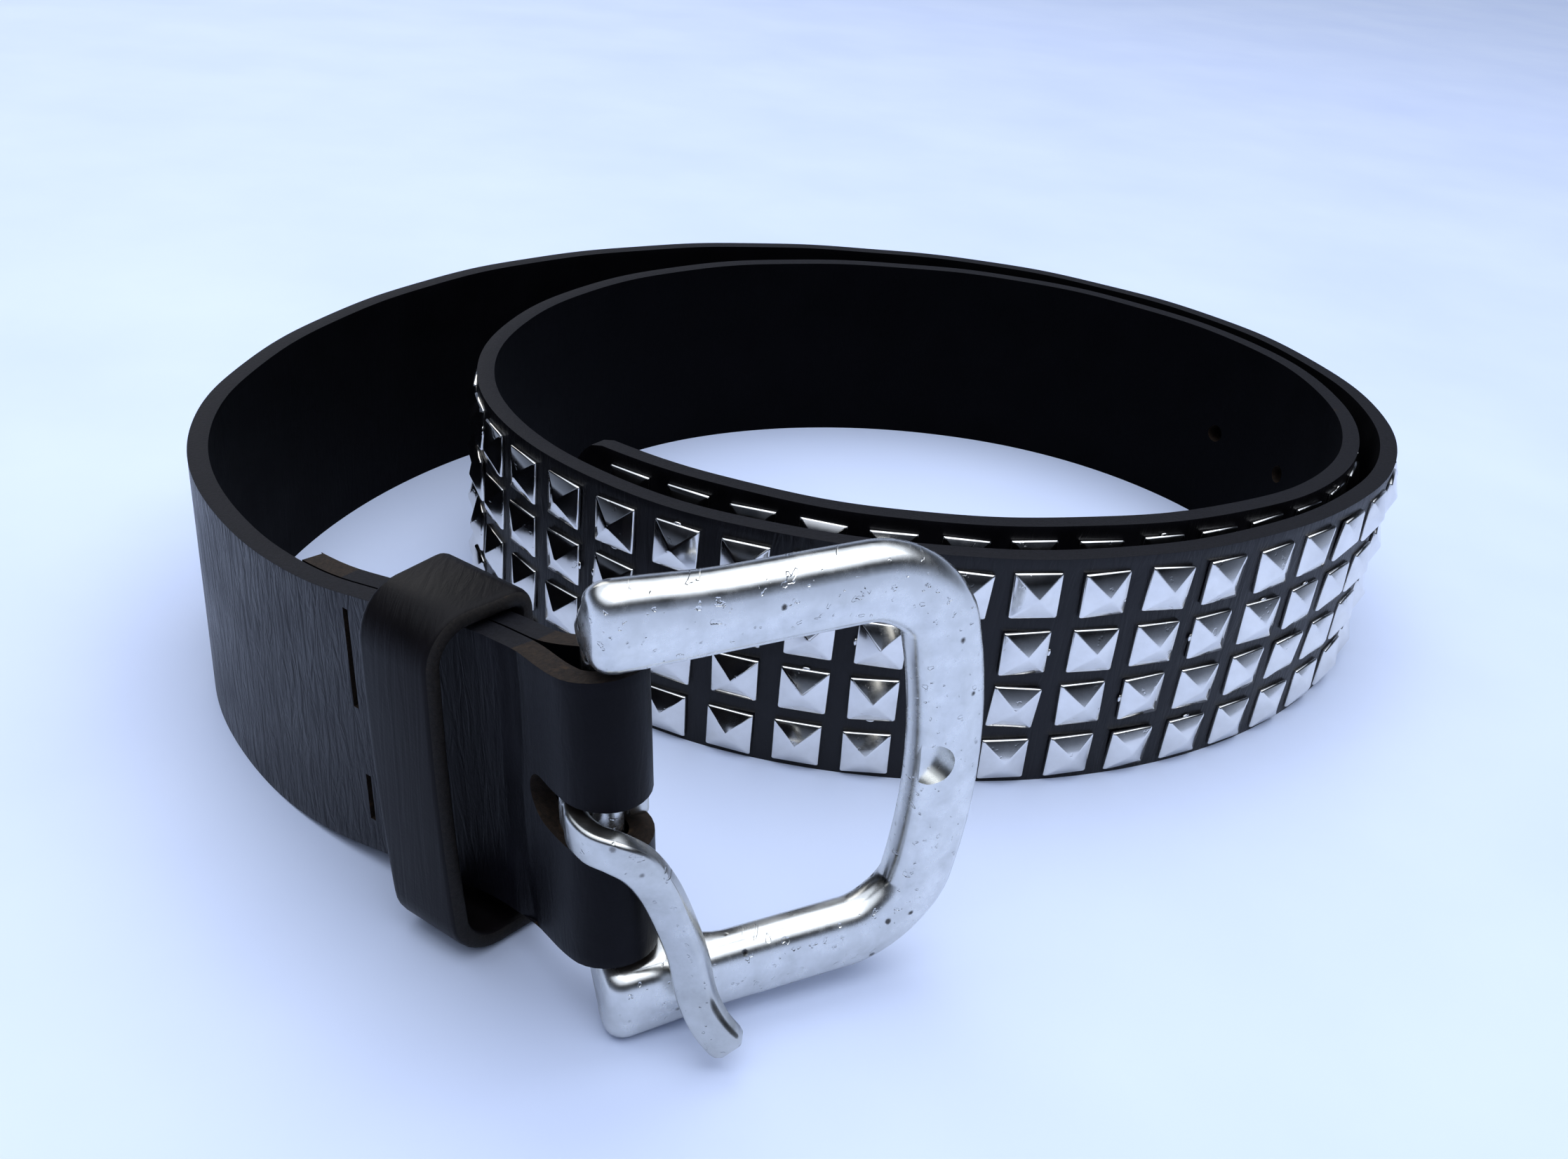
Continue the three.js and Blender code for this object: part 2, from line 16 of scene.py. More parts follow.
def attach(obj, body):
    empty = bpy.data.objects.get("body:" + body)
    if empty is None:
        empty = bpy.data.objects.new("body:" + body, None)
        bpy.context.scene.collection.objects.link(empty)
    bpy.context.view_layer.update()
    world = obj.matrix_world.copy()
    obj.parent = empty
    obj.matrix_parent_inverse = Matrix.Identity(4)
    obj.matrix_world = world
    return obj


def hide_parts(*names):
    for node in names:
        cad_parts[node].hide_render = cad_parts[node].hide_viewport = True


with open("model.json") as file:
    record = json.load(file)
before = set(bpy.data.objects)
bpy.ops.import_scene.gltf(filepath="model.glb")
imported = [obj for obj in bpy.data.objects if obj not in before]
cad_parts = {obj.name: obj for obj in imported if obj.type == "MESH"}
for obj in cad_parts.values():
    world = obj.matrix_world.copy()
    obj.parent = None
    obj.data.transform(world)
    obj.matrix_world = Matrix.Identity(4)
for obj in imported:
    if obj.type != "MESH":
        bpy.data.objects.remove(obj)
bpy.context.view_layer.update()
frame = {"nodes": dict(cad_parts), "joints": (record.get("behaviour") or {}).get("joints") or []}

print("pieces in the frame:", sorted(frame["nodes"]))

# %% [markdown]
# All sizes are millimetres, as on the bench, and turn to metres only where a point is placed.
# They are the sizes that the solids were made from.

# %% Sizes of the strap
MM = 0.001
STRAP_LENGTH = 1030
STRAP_WIDTH = 38
STRAP_THICKNESS = 2.8
MIDDLE = STRAP_WIDTH / 2
HALF = STRAP_THICKNESS / 2
LAYER_GAP = 0.25
LAYER_STEP = STRAP_THICKNESS + LAYER_GAP
TIP_LENGTH = 10
TIP_POWER = 2.2

STUD_SIDE = 7.1
STUD_HEIGHT = 2
STUD_ROWS = 4
STUD_COLUMNS = 89
ROW_PITCH = 9.3
COLUMN_PITCH = 10.1
LOWEST_ROW = 4.4
STUDS_START = 109.7
HOLE_RADIUS = 1.7
HOLE_COUNT = 6
HOLE_STEP = 2
FIRST_HOLE_COLUMN = 70

START_HEADING = 137
LIFT = 10
LIFT_STRAIGHT = 40
LIFT_RUN = 65
LEAN = 0.07
LEAN_STRAIGHT = 25
LEAN_RUN = 57

BAR_RADIUS = 2
BAR_CLEARANCE = 0.5
BAR_INSET = 2.8
BULGE_RUN = 10
FOLD_BACK = 53
FOLD_RADIUS = BAR_RADIUS + BAR_CLEARANCE + HALF
FOLD_ARC = math.pi * FOLD_RADIUS
SLOT_WIDTH = 6.2
SLOT_REACH = 7.5
STRAP_DROP = 0.5

# Each section of the route is an arc: its share of the length, and its turn in degrees
ROUTE = [
    {"share": 0.0133, "turn": 0},
    {"share": 0.008, "turn": 13},
    {"share": 0.0185, "turn": 0},
    {"share": 0.034, "turn": -23},
    {"share": 0.039, "turn": -38},
    {"share": 0.053, "turn": -28},
    {"share": 0.063, "turn": -35},
    {"share": 0.058, "turn": -29},
    {"share": 0.049, "turn": -35},
    {"share": 0.044, "turn": -38},
    {"share": 0.049, "turn": -52},
    {"share": 0.049, "turn": -30},
    {"share": 0.053, "turn": -33},
    {"share": 0.044, "turn": -39},
    {"share": 0.044, "turn": -49},
    {"share": 0.058, "turn": -47},
    {"share": 0.063, "turn": -42},
    {"share": 0.049, "turn": -41},
    {"share": 0.039, "turn": -44},
    {"share": 0.044, "turn": -49.5},
    {"share": 0.049, "turn": -29},
    {"share": 0.068, "turn": -47.5},
    {"share": 0.013, "turn": -22},
]

# %% [markdown]
# The leather follows one route in plan. A point of the belt is known by its distance along the
# strap, its offset towards the outer face and its height on the strap. One function turns
# these into a place, so that leather, studs and keeper all follow the same line. The buckle's
# hinge in the frame ties the route to the solids.

# %% The route
section_lengths = np.array([s["share"] * STRAP_LENGTH for s in ROUTE])
section_turns = np.radians([s["turn"] for s in ROUTE])
section_starts = np.concatenate([[0], np.cumsum(section_lengths)[:-1]])


def arc(heading, turn, run):
    """Steps in x and y along an arc, which is straight where its turn is zero."""
    safe = np.where(np.abs(turn) < 1e-9, 1, turn)
    chord = np.where(np.abs(turn) < 1e-9, run, 2 * run / safe * np.sin(safe / 2))
    return chord * np.cos(heading + turn / 2), chord * np.sin(heading + turn / 2)


corner_x, corner_y, corner_heading = [0.0], [0.0], [math.radians(START_HEADING)]
for length, turn in zip(section_lengths, section_turns):
    step_x, step_y = arc(corner_heading[-1], turn, length)
    corner_x.append(corner_x[-1] + float(step_x))
    corner_y.append(corner_y[-1] + float(step_y))
    corner_heading.append(corner_heading[-1] + turn)


def route(distance):
    """Plan position in millimetres and heading, at distances along the strap."""
    distance = np.asarray(distance, float)
    i = np.clip(np.searchsorted(section_starts, distance, side="right") - 1, 0, len(ROUTE) - 1)
    run = distance - section_starts[i]
    turn = section_turns[i] * run / section_lengths[i]
    heading = np.take(corner_heading, i)
    step_x, step_y = arc(heading, turn, run)
    return np.take(corner_x, i) + step_x, np.take(corner_y, i) + step_y, heading + turn


def lift(distance):
    """Height of the strap's lower edge: a straight fall from the bar, then a soft landing."""
    landing = LIFT_RUN - LIFT_STRAIGHT
    fall = LIFT / (LIFT_STRAIGHT + landing / 2)
    left = np.clip(LIFT_RUN - distance, 0, None)
    return np.where(distance <= LIFT_STRAIGHT, LIFT - fall * distance, fall * left**2 / landing / 2)


def lean(distance):
    """Sideways slant of the strap per millimetre of height, fading out behind the keeper."""
    t = np.clip((LEAN_RUN - distance) / (LEAN_RUN - LEAN_STRAIGHT), 0, 1)
    return LEAN * t * t * (3 - 2 * t)


origin = np.zeros(3)


def place(distance, offset, height):
    """Points in metres, in the frame."""
    distance = np.asarray(distance, float)
    x, y, heading = route(distance)
    slant = lean(distance)
    points = np.stack([
        x - offset * np.sin(heading) - slant * height,
        y + offset * np.cos(heading) + 0 * height,
        lift(distance) + height * np.sqrt(1 - slant**2) + 0 * offset,
    ], axis=-1)
    return points * MM + origin


swing = next(j for j in frame["joints"] if j["name"] == "buckle_swing")
bar_middle = np.array(swing["pos_m"])
origin = bar_middle - place(0, -BAR_INSET, MIDDLE) - np.array([0, 0, STRAP_DROP * MM])
print("route starts at", origin.round(4), "metres")

# %% [markdown]
# The camera comes first, because every later look is judged through it. It stands a hand's
# breadth above the buckle's side, looks down at about thirty degrees and is rolled a little.

# %% Camera
CAMERA_PLACE = (-6.7, -213.8, 128.1)
CAMERA_PITCH = 29.418
CAMERA_ROLL = 6.094
LENS = 32.76
SENSOR = 36

pitch = math.radians(CAMERA_PITCH)
roll = math.radians(CAMERA_ROLL)
level_up = Vector((0, math.sin(pitch), math.cos(pitch)))
forward = Vector((0, math.cos(pitch), -math.sin(pitch)))
right = Vector((1, 0, 0)) * math.cos(roll) + level_up * math.sin(roll)
upward = right.cross(forward)
camera_data = bpy.data.cameras.new("camera")
camera_data.lens = LENS
camera_data.sensor_width = SENSOR
camera_data.clip_start = 0.01
camera = bpy.data.objects.new("camera", camera_data)
bpy.context.scene.collection.objects.link(camera)
camera.matrix_world = Matrix.Translation(Vector(CAMERA_PLACE) * MM) @ Matrix(
    (right, upward, -forward)).transposed().to_4x4()
bpy.context.scene.camera = camera
print("camera up:", tuple(round(v, 3) for v in upward))

# %% [markdown]
# The stage is a pale floor under a broad, soft light. Polished metal shows what is round it:
# a bright floor, a bright ceiling and a darker band between them, so that each stud gets one
# dark facet and three light ones. The sky is made in those bands.

# %% Helpers for nodes and colours


def colour(hex_code):
    """An sRGB hex value as linear red, green, blue and alpha."""
    parts = [int(hex_code[i:i + 2], 16) / 255 for i in (1, 3, 5)]
    return [p / 12.92 if p <= 0.04045 else ((p + 0.055) / 1.055) ** 2.4 for p in parts] + [1]


def add(tree, kind, inputs=None, **settings):
    """Adds a node, sets its settings, and fills or links its inputs."""
    node = tree.nodes.new(kind)
    for name, value in settings.items():
        setattr(node, name, value)
    for name, value in (inputs or {}).items():
        if isinstance(value, bpy.types.NodeSocket):
            tree.links.new(value, node.inputs[name])
        else:
            node.inputs[name].default_value = value
    return node


def ramp(tree, fac, stops):
    """A colour ramp with (position, hex colour) stops."""
    node = add(tree, "ShaderNodeValToRGB", {"Fac": fac})
    elements = node.color_ramp.elements
    for element, (position, code) in zip(elements, (stops[0], stops[-1])):
        element.position = position
        element.color = colour(code)
    for position, code in stops[1:-1]:
        elements.new(position).color = colour(code)
    return node.outputs["Color"]


def span(tree, value, low, high, start=0.0, end=1.0):
    """A value mapped from one range to another."""
    node = add(tree, "ShaderNodeMapRange", {
        "Value": value, "From Min": start, "From Max": end, "To Min": low, "To Max": high})
    return node.outputs["Result"]


def material(name):
    """A new material, with its node tree and its shader."""
    made = bpy.data.materials.new(name)
    made.use_nodes = True
    return made, made.node_tree, made.node_tree.nodes["Principled BSDF"]


# %% Floor, sky and lights
FLOOR_SIZE = 6
FLOOR_CLOUDS = 14
SKY_STRENGTH = 1.4
SKY_BANDS = [
    (0.0, "#8e9ab2"), (0.14, "#565e6e"), (0.38, "#0e1014"), (0.54, "#23272f"), (0.7, "#e6efff"),
]
SOFTBOXES = [
    {"name": "ceiling_softbox", "at": (0.1, -0.05, 0.9), "towards": (0, 0, 0),
     "size": 1.1, "watts": 6, "code": "#f4f8ff"},
    {"name": "back_softbox", "at": (-0.5, 0.75, 0.55), "towards": (0, 0, 0.02),
     "size": 0.5, "watts": 1.2, "code": "#ffffff"},
]

bpy.ops.object.select_all(action="DESELECT")
bpy.ops.mesh.primitive_plane_add(size=FLOOR_SIZE)
floor = bpy.context.object
floor.name = "floor"
floor_finish, tree, shader = material("matt_white_board")
cloud = add(tree, "ShaderNodeTexNoise", {
    "Vector": add(tree, "ShaderNodeTexCoord").outputs["Object"], "Scale": FLOOR_CLOUDS, "Detail": 4})
board = ramp(tree, cloud.outputs["Fac"], [(0.3, "#cbd7f3"), (0.7, "#d3def6")])
tree.links.new(board, shader.inputs["Base Color"])
shader.inputs["Roughness"].default_value = 0.55
floor.data.materials.append(floor_finish)

world = bpy.data.worlds.new("studio")
bpy.context.scene.world = world
world.use_nodes = True
sky = world.node_tree
sky.nodes.clear()
height = add(sky, "ShaderNodeSeparateXYZ", {
    "Vector": add(sky, "ShaderNodeTexCoord").outputs["Generated"]}).outputs["Z"]
light = add(sky, "ShaderNodeBackground", {
    "Color": ramp(sky, height, SKY_BANDS), "Strength": SKY_STRENGTH})
add(sky, "ShaderNodeOutputWorld", {"Surface": light.outputs["Background"]})


def area_light(box):
    data = bpy.data.lights.new(box["name"], "AREA")
    data.size = box["size"]
    data.energy = box["watts"]
    data.color = colour(box["code"])[:3]
    lamp = bpy.data.objects.new(box["name"], data)
    bpy.context.scene.collection.objects.link(lamp)
    lamp.location = box["at"]
    aim = Vector(box["towards"]) - Vector(box["at"])
    lamp.rotation_euler = aim.to_track_quat("-Z", "Y").to_euler()


for box in SOFTBOXES:
    area_light(box)
bpy.context.scene.view_settings.view_transform = "Standard"
print("stage set")

# %% [markdown]
# Lofting is how most of the forms are made: a ring of points is extruded, and each new ring is
# laid to the next section of the piece, as a smith draws a bar through its bends. The
# operator keeps the walls whole, and the ends are filled or bridged.

# %% Helper for lofting


def only(obj):
    """Makes one object the selected and active one."""
    bpy.ops.object.select_all(action="DESELECT")
    obj.select_set(True)
    bpy.context.view_layer.objects.active = obj


def face_outward(obj):
    """Turns every face of a closed piece outward."""
    only(obj)
    bpy.ops.object.mode_set(mode="EDIT")
    bpy.ops.mesh.select_all(action="SELECT")
    bpy.ops.mesh.normals_make_consistent(inside=False)
    bpy.ops.object.mode_set(mode="OBJECT")


def lay_ring(mesh, near, points):
    """Moves the selected ring, which lies at the near points, to the given points."""
    edit = bmesh.from_edit_mesh(mesh)
    picked = [v for v in edit.verts if v.select]
    at = np.array([v.co for v in picked])
    for here, there in zip(near, points):
        picked[int(np.argmin(((at - here) ** 2).sum(1)))].co = there
    bmesh.update_edit_mesh(mesh)


def select_near(mesh, rings):
    """Selects the edges of the rings that lie at the given points."""
    bpy.ops.mesh.select_all(action="DESELECT")
    edit = bmesh.from_edit_mesh(mesh)
    edit.verts.ensure_lookup_table()
    at = np.array([v.co for v in edit.verts])
    wanted = {int(np.argmin(((at - p) ** 2).sum(1))) for ring in rings for p in ring}
    for edge in edit.edges:
        if edge.verts[0].index in wanted and edge.verts[1].index in wanted:
            edge.select = True
    bmesh.update_edit_mesh(mesh)


def loft(name, rings, closed=False):
    """A wall through rings of points in metres, capped at its ends or closed on itself."""
    rings = [np.asarray(r, float) for r in rings]
    bpy.ops.object.select_all(action="DESELECT")
    bpy.ops.mesh.primitive_circle_add(vertices=len(rings[0]), radius=1)
    obj = bpy.context.object
    obj.name = name
    obj.data.name = name
    start = np.array([v.co for v in obj.data.vertices])
    bpy.ops.object.mode_set(mode="EDIT")
    bpy.ops.mesh.select_mode(type="VERT")
    bpy.ops.mesh.select_all(action="SELECT")
    lay_ring(obj.data, start, rings[0])
    for before, after in zip(rings, rings[1:]):
        bpy.ops.mesh.extrude_region_move()
        lay_ring(obj.data, before, after)
    if closed:
        select_near(obj.data, [rings[0], rings[-1]])
        bpy.ops.mesh.bridge_edge_loops()
    else:
        for end in (rings[0], rings[-1]):
            select_near(obj.data, [end])
            bpy.ops.mesh.edge_face_add()
    bpy.ops.object.mode_set(mode="OBJECT")
    face_outward(obj)
    return obj


def smooth(obj, angle):
    """Shades a piece smooth, but keeps the edges that turn by more than the angle sharp."""
    only(obj)
    bpy.ops.object.shade_smooth_by_angle(angle=math.radians(angle))


def apply_modifier(obj, kind, **settings):
    """Adds a modifier and applies it to the mesh at once."""
    only(obj)
    modifier = obj.modifiers.new(kind.lower(), kind)
    for name, value in settings.items():
        setattr(modifier, name, value)
    bpy.ops.object.modifier_apply(modifier=modifier.name)


def cut(obj, cutters, wall=None):
    """Takes the cutters out of a closed piece, and gives the walls a finish of their own."""
    for cutter in cutters:
        face_outward(cutter)
        if wall:
            cutter.data.materials.append(wall)
        apply_modifier(obj, "BOOLEAN", operation="DIFFERENCE", solver="EXACT", object=cutter,
                       material_mode="TRANSFER" if wall else "INDEX")
        bpy.data.objects.remove(cutter)


# %% [markdown]
# Finished belt leather is vegetable-tanned cowhide, dyed black and rolled smooth. Where it was
# bent it shows fine wrinkles across the width, a millimetre or two apart, over a finer grain.
# The wrinkles are noise drawn out along the width on the flat map. The rims are dyed too, but
# their fibres stand open, so they look greyer and duller, with raw brown where they rubbed.

# %% Black leather
WRINKLE_SPACING = 1.3
WRINKLE_LENGTH = 8
WRINKLES_START = 24
WRINKLES_FULL = 36
WRINKLE_DEPTH = 0.25
FOLD_WRINKLES = 0.15
FOLD_SHINE = 0.28
STUDDED_WRINKLES = 0.3
STUDDED_FADE = 5
GRAIN_SIZE = 0.45
GRAIN_DEPTH = 0.06
FIBRE_SIZE = 0.5
FIBRE_DEPTH = 0.2
# Patches are counted per metre: the dye's are about 11 mm wide, and the worn ones 4.5 mm
DYE_PATCHES = 90
WORN_PATCHES = 220
WORN_EDGE = 0.06


def black_leather(name, dark, pale, low_rough, high_rough, wrinkle, shine, mapped=True):
    """Dyed leather: patchy black, a fine grain, and wrinkles where the strap is bent."""
    made, tree, shader = material(name)
    if mapped:
        where = add(tree, "ShaderNodeUVMap", uv_map="flat").outputs["UV"]
    else:
        where = add(tree, "ShaderNodeTexCoord").outputs["Object"]
    drawn = add(tree, "ShaderNodeMapping", {
        "Vector": where, "Scale": (1 / (WRINKLE_SPACING * MM), 1 / (WRINKLE_LENGTH * MM), 40)})
    wrinkles = add(tree, "ShaderNodeTexNoise", {
        "Vector": drawn.outputs["Vector"], "Scale": 1, "Detail": 3, "Roughness": 0.55,
        "Distortion": 1.1})
    ridged = span(tree, wrinkles.outputs["Fac"], 0, 1, 0.35, 0.65)
    if mapped:
        strap_distance = add(tree, "ShaderNodeSeparateXYZ", {"Vector": where}).outputs["X"]
        bent_part = span(tree, strap_distance, FOLD_WRINKLES, 1,
                         WRINKLES_START * MM, WRINKLES_FULL * MM)
        studded_part = span(tree, strap_distance, 1, STUDDED_WRINKLES,
                            (STUDS_START - STUDDED_FADE) * MM, STUDS_START * MM)
        wrinkled = add(tree, "ShaderNodeMath", {0: bent_part, 1: studded_part}, operation="MULTIPLY")
        ridged = add(tree, "ShaderNodeMath", {
            0: ridged, 1: wrinkled.outputs["Value"]}, operation="MULTIPLY").outputs["Value"]
    grain = add(tree, "ShaderNodeTexNoise", {
        "Vector": where, "Scale": 1 / (GRAIN_SIZE * MM), "Detail": 2})
    patches = add(tree, "ShaderNodeTexNoise", {"Vector": where, "Scale": DYE_PATCHES, "Detail": 5})
    shade = ramp(tree, patches.outputs["Fac"], [(0.35, dark), (0.7, pale)])
    tree.links.new(shade, shader.inputs["Base Color"])
    tree.links.new(span(tree, patches.outputs["Fac"], low_rough, high_rough, 0.3, 0.7),
                   shader.inputs["Roughness"])
    fine = add(tree, "ShaderNodeBump", {
        "Height": grain.outputs["Fac"], "Strength": 0.25, "Distance": GRAIN_DEPTH * MM})
    broad = add(tree, "ShaderNodeBump", {
        "Height": ridged, "Strength": wrinkle, "Distance": WRINKLE_DEPTH * MM,
        "Normal": fine.outputs["Normal"]})
    tree.links.new(broad.outputs["Normal"], shader.inputs["Normal"])
    shader.inputs["Specular IOR Level"].default_value = shine
    if mapped:
        shines = span(tree, bent_part, FOLD_SHINE * shine, shine, FOLD_WRINKLES)
        tree.links.new(shines, shader.inputs["Specular IOR Level"])
    return made


def cut_edge(name, dark, pale, raw, raw_share):
    """A cut rim of leather: dull open fibres, dyed, with the raw colour where it is worn."""
    made, tree, shader = material(name)
    where = add(tree, "ShaderNodeTexCoord").outputs["Object"]
    fibres = add(tree, "ShaderNodeTexNoise", {
        "Vector": where, "Scale": 1 / (FIBRE_SIZE * MM), "Detail": 5, "Roughness": 0.7})
    worn = add(tree, "ShaderNodeTexNoise", {"Vector": where, "Scale": WORN_PATCHES, "Detail": 6})
    dyed = ramp(tree, fibres.outputs["Fac"], [(0.3, dark), (0.75, pale)])
    mask = span(tree, worn.outputs["Fac"], 0, 1, 1 - raw_share - WORN_EDGE, 1 - raw_share + WORN_EDGE)
    mixed = add(tree, "ShaderNodeMix", {"Factor": mask, "A": dyed, "B": colour(raw)}, data_type="RGBA")
    tree.links.new(mixed.outputs["Result"], shader.inputs["Base Color"])
    shader.inputs["Roughness"].default_value = 0.62
    shader.inputs["Specular IOR Level"].default_value = 0.15
    bump = add(tree, "ShaderNodeBump", {
        "Height": fibres.outputs["Fac"], "Strength": 0.6, "Distance": FIBRE_DEPTH * MM})
    tree.links.new(bump.outputs["Normal"], shader.inputs["Normal"])
    return made


# The outer face, with a satin roll finish
grain_leather = black_leather("rolled_black_cowhide", "#070609", "#100f14", 0.34, 0.48, 0.7, 0.27)
# The inner face, sealed matt, so hardly any highlight shows on it
# Its darker colours are partly its own finish, partly painted shade for the coil's inside
flesh_leather_with_painted_shade = black_leather("sealed_flesh_side_with_painted_shade", "#020204", "#060609", 0.6, 0.75, 0.3, 0.04)
# The strap's long edges, dyed after cutting
rim_leather = cut_edge("dyed_cut_edge", "#0b0b0f", "#19191f", "#2a221a", 0.22)
# The keeper, smooth from every pass of the belt's tip
keeper_leather = black_leather(
    "polished_black_cowhide", "#080607", "#110e10", 0.36, 0.48, 0.12, 0.1, mapped=False)
# The keeper's rims and the punched walls show brown fibres
keeper_rim = cut_edge("raw_keeper_edge", "#141211", "#26221f", "#4e3c2b", 0.3)
raw_leather = cut_edge("raw_punched_edge", "#14100e", "#33281f", "#5a4530", 0.35)

# %% [markdown]
# The strap is cut from a flat side of leather: a long grid is drawn out to the strap's outline,
# gets its thickness, and its rims are rounded. Its stops lie closer together where it folds
# round the bar. Between the studs the leather swells a little, because each stud is pulled in.

# %% The flat strap
CELLS_UP = 28
FOLD_STOP = 0.8
PLAIN_STOP = 2.4
STOPS_PER_COLUMN = 7
LANDING_STOP = PLAIN_STOP / 1.5
TIP_GROUND = 0.5
TIP_STOPS = 14
TIP_END = 0.98
TIP_CROWDING = 0.6
TIP_HALF = 1
RIM_ROUND = 0.5

studs_end = STUDS_START + STUD_COLUMNS * COLUMN_PITCH
tip_start = studs_end + TIP_GROUND


def stops_between(start, end, size):
    """Even stops from a start up to, but without, an end."""
    count = max(1, round((end - start) / size))
    return list(np.linspace(start, end, count + 1)[:-1])


stops = []
stops += stops_between(-FOLD_ARC - FOLD_BACK, -FOLD_ARC - BULGE_RUN, PLAIN_STOP)
stops += stops_between(-FOLD_ARC - BULGE_RUN, BULGE_RUN, FOLD_STOP)
stops += stops_between(BULGE_RUN, STUDS_START, LANDING_STOP)
stops += stops_between(STUDS_START, studs_end, COLUMN_PITCH / STOPS_PER_COLUMN)
stops += [studs_end]
tip_shares = np.linspace(0, TIP_END, TIP_STOPS) ** TIP_CROWDING
stops += [tip_start + TIP_LENGTH * share for share in tip_shares]
stops = np.array(sorted(set(np.round(stops, 4))))

bpy.ops.object.select_all(action="DESELECT")
bpy.ops.mesh.primitive_grid_add(x_subdivisions=len(stops) - 1, y_subdivisions=CELLS_UP, size=1)
strap = bpy.context.object
strap.name = "strap_leather"
flat = np.array([v.co for v in strap.data.vertices])
column = np.round((flat[:, 0] + 0.5) * (len(np.unique(flat[:, 0].round(5))) - 1)).astype(int)
along = stops[np.clip(column, 0, len(stops) - 1)]
share_up = flat[:, 1] + 0.5
tip_share = np.clip((along - tip_start) / TIP_LENGTH, 0, 1)
half_height = MIDDLE - (MIDDLE - TIP_HALF) * tip_share**TIP_POWER
flat = np.stack([along, MIDDLE + (2 * share_up - 1) * half_height, 0 * along], axis=-1)
strap.data.vertices.foreach_set("co", flat.ravel())
apply_modifier(strap, "SOLIDIFY", thickness=STRAP_THICKNESS, offset=0)
apply_modifier(strap, "BEVEL", width=RIM_ROUND, segments=3, limit_method="ANGLE",
               angle_limit=math.radians(40), affect="EDGES")
print("flat strap:", len(strap.data.polygons), "faces")

# %% [markdown]
# Before the strap is bent, its flat shape is written down as a map on its surface. Wrinkles and
# grain follow this map, so they run across the width all the way round the coil. The cut
# rims get a finish of their own, because a dyed edge is duller and greyer than the grain side.

# %% Map and faces of the flat strap
GRAIN_SIDE, FLESH_SIDE, CUT_RIM, RAW_RIM = 0, 1, 2, 3
LEVEL = 0.8
RAW_RUN = 9

mesh = strap.data
for old in list(mesh.uv_layers):
    mesh.uv_layers.remove(old)
points = np.array([v.co for v in mesh.vertices]) * MM
corner_points = np.zeros(len(mesh.loops), int)
mesh.loops.foreach_get("vertex_index", corner_points)
flat_map = mesh.uv_layers.new(name="flat")
mesh.uv_layers.active = flat_map
flat_map.data.foreach_set("uv", points[corner_points, :2].ravel())
face_normals = np.array([p.normal for p in strap.data.polygons])
face_kind = np.where(face_normals[:, 2] > LEVEL, GRAIN_SIDE,
                     np.where(face_normals[:, 2] < -LEVEL, FLESH_SIDE, CUT_RIM))
middles = np.array([p.center for p in strap.data.polygons])
raw = (middles[:, 0] < RAW_RUN) & (middles[:, 0] > -FOLD_ARC - RAW_RUN)
raw |= middles[:, 0] < -FOLD_ARC - FOLD_BACK + RAW_RUN
face_kind = np.where((face_kind == CUT_RIM) & raw, RAW_RIM, face_kind)
print("rim faces:", int((face_kind >= CUT_RIM).sum()))

# %% [markdown]
# Now the strap is bent as the belt lies: its end goes round the bar and back along the inner
# side, and the rest follows the route. Where the two leathers part to take the bar they bend
# in a soft S. On the grain side the leather swells between the studs and creases before the
# keeper, the short end is frayed, and the free edge isn't quite straight.

# %% Bend the strap
SWELL = 0.22
SWELL_RUN = 1.2
SWELL_AT_STUD = 0.25
RIM_FADE = 1.5
CREASE_PLACE = 9.5
CREASE_WANDER = 0.7
CREASE_WAVE = 7
CREASE_DEPTH = 0.5
CREASE_WIDTH = 1.1
FRAY = 1
FRAY_RUN = 0.3
RIPPLE = 0.1
RIPPLE_START = 1.3
RIPPLE_WAVE = 13
RIPPLE_BEAT = 31
SMALL_RIPPLE = 0.05
SMALL_WAVE = 4.1
RIPPLE_FADE = 20


def beside_bar(distance, at_bar, at_rest):
    """Offset and tilt of a leather that leaves the bar and settles in a soft S."""
    t = np.clip(distance / BULGE_RUN, 0, 1)
    half_swing = (at_bar - at_rest) / 2
    offset = at_rest + half_swing * (1 + np.cos(np.pi * t))
    tilt = np.arctan(-half_swing * np.sin(np.pi * t) * np.pi / BULGE_RUN)
    return offset, tilt


def bend_strap(flat_points):
    """Points of the flat strap, moved to where they lie on the coiled belt."""
    s, h, n = flat_points[:, 0], flat_points[:, 1], flat_points[:, 2]
    offset, tilt = beside_bar(s, FOLD_RADIUS - BAR_INSET, 0)
    front = place(s - n * np.sin(tilt), offset + n * np.cos(tilt), h)
    back_distance = -s - FOLD_ARC
    offset, tilt = beside_bar(back_distance, -BAR_INSET - FOLD_RADIUS, -LAYER_STEP)
    back = place(back_distance + n * np.sin(tilt), offset - n * np.cos(tilt), h)
    turn = np.pi * (1 + s / FOLD_ARC)
    radius = FOLD_RADIUS + n
    fold = place(-radius * np.sin(turn), -BAR_INSET - radius * np.cos(turn), h)
    on_fold = ((s < 0) & (s > -FOLD_ARC))[:, None]
    return np.where((s >= 0)[:, None], front, np.where(on_fold, fold, back))


def swell(s, h):
    """How far the leather stands up between studs, from 0 under a stud to 1 between four."""
    across = np.abs((s - STUDS_START) / COLUMN_PITCH % 1 - 0.5) * COLUMN_PITCH
    row = np.clip(np.round((h - LOWEST_ROW) / ROW_PITCH), 0, STUD_ROWS - 1)
    up = np.abs(h - LOWEST_ROW - row * ROW_PITCH)
    clear = np.maximum(across, up) - STUD_SIDE / 2
    inside = (s > STUDS_START) & (s < studs_end)
    return np.where(inside, np.clip(clear / SWELL_RUN + SWELL_AT_STUD, 0, 1), 1)


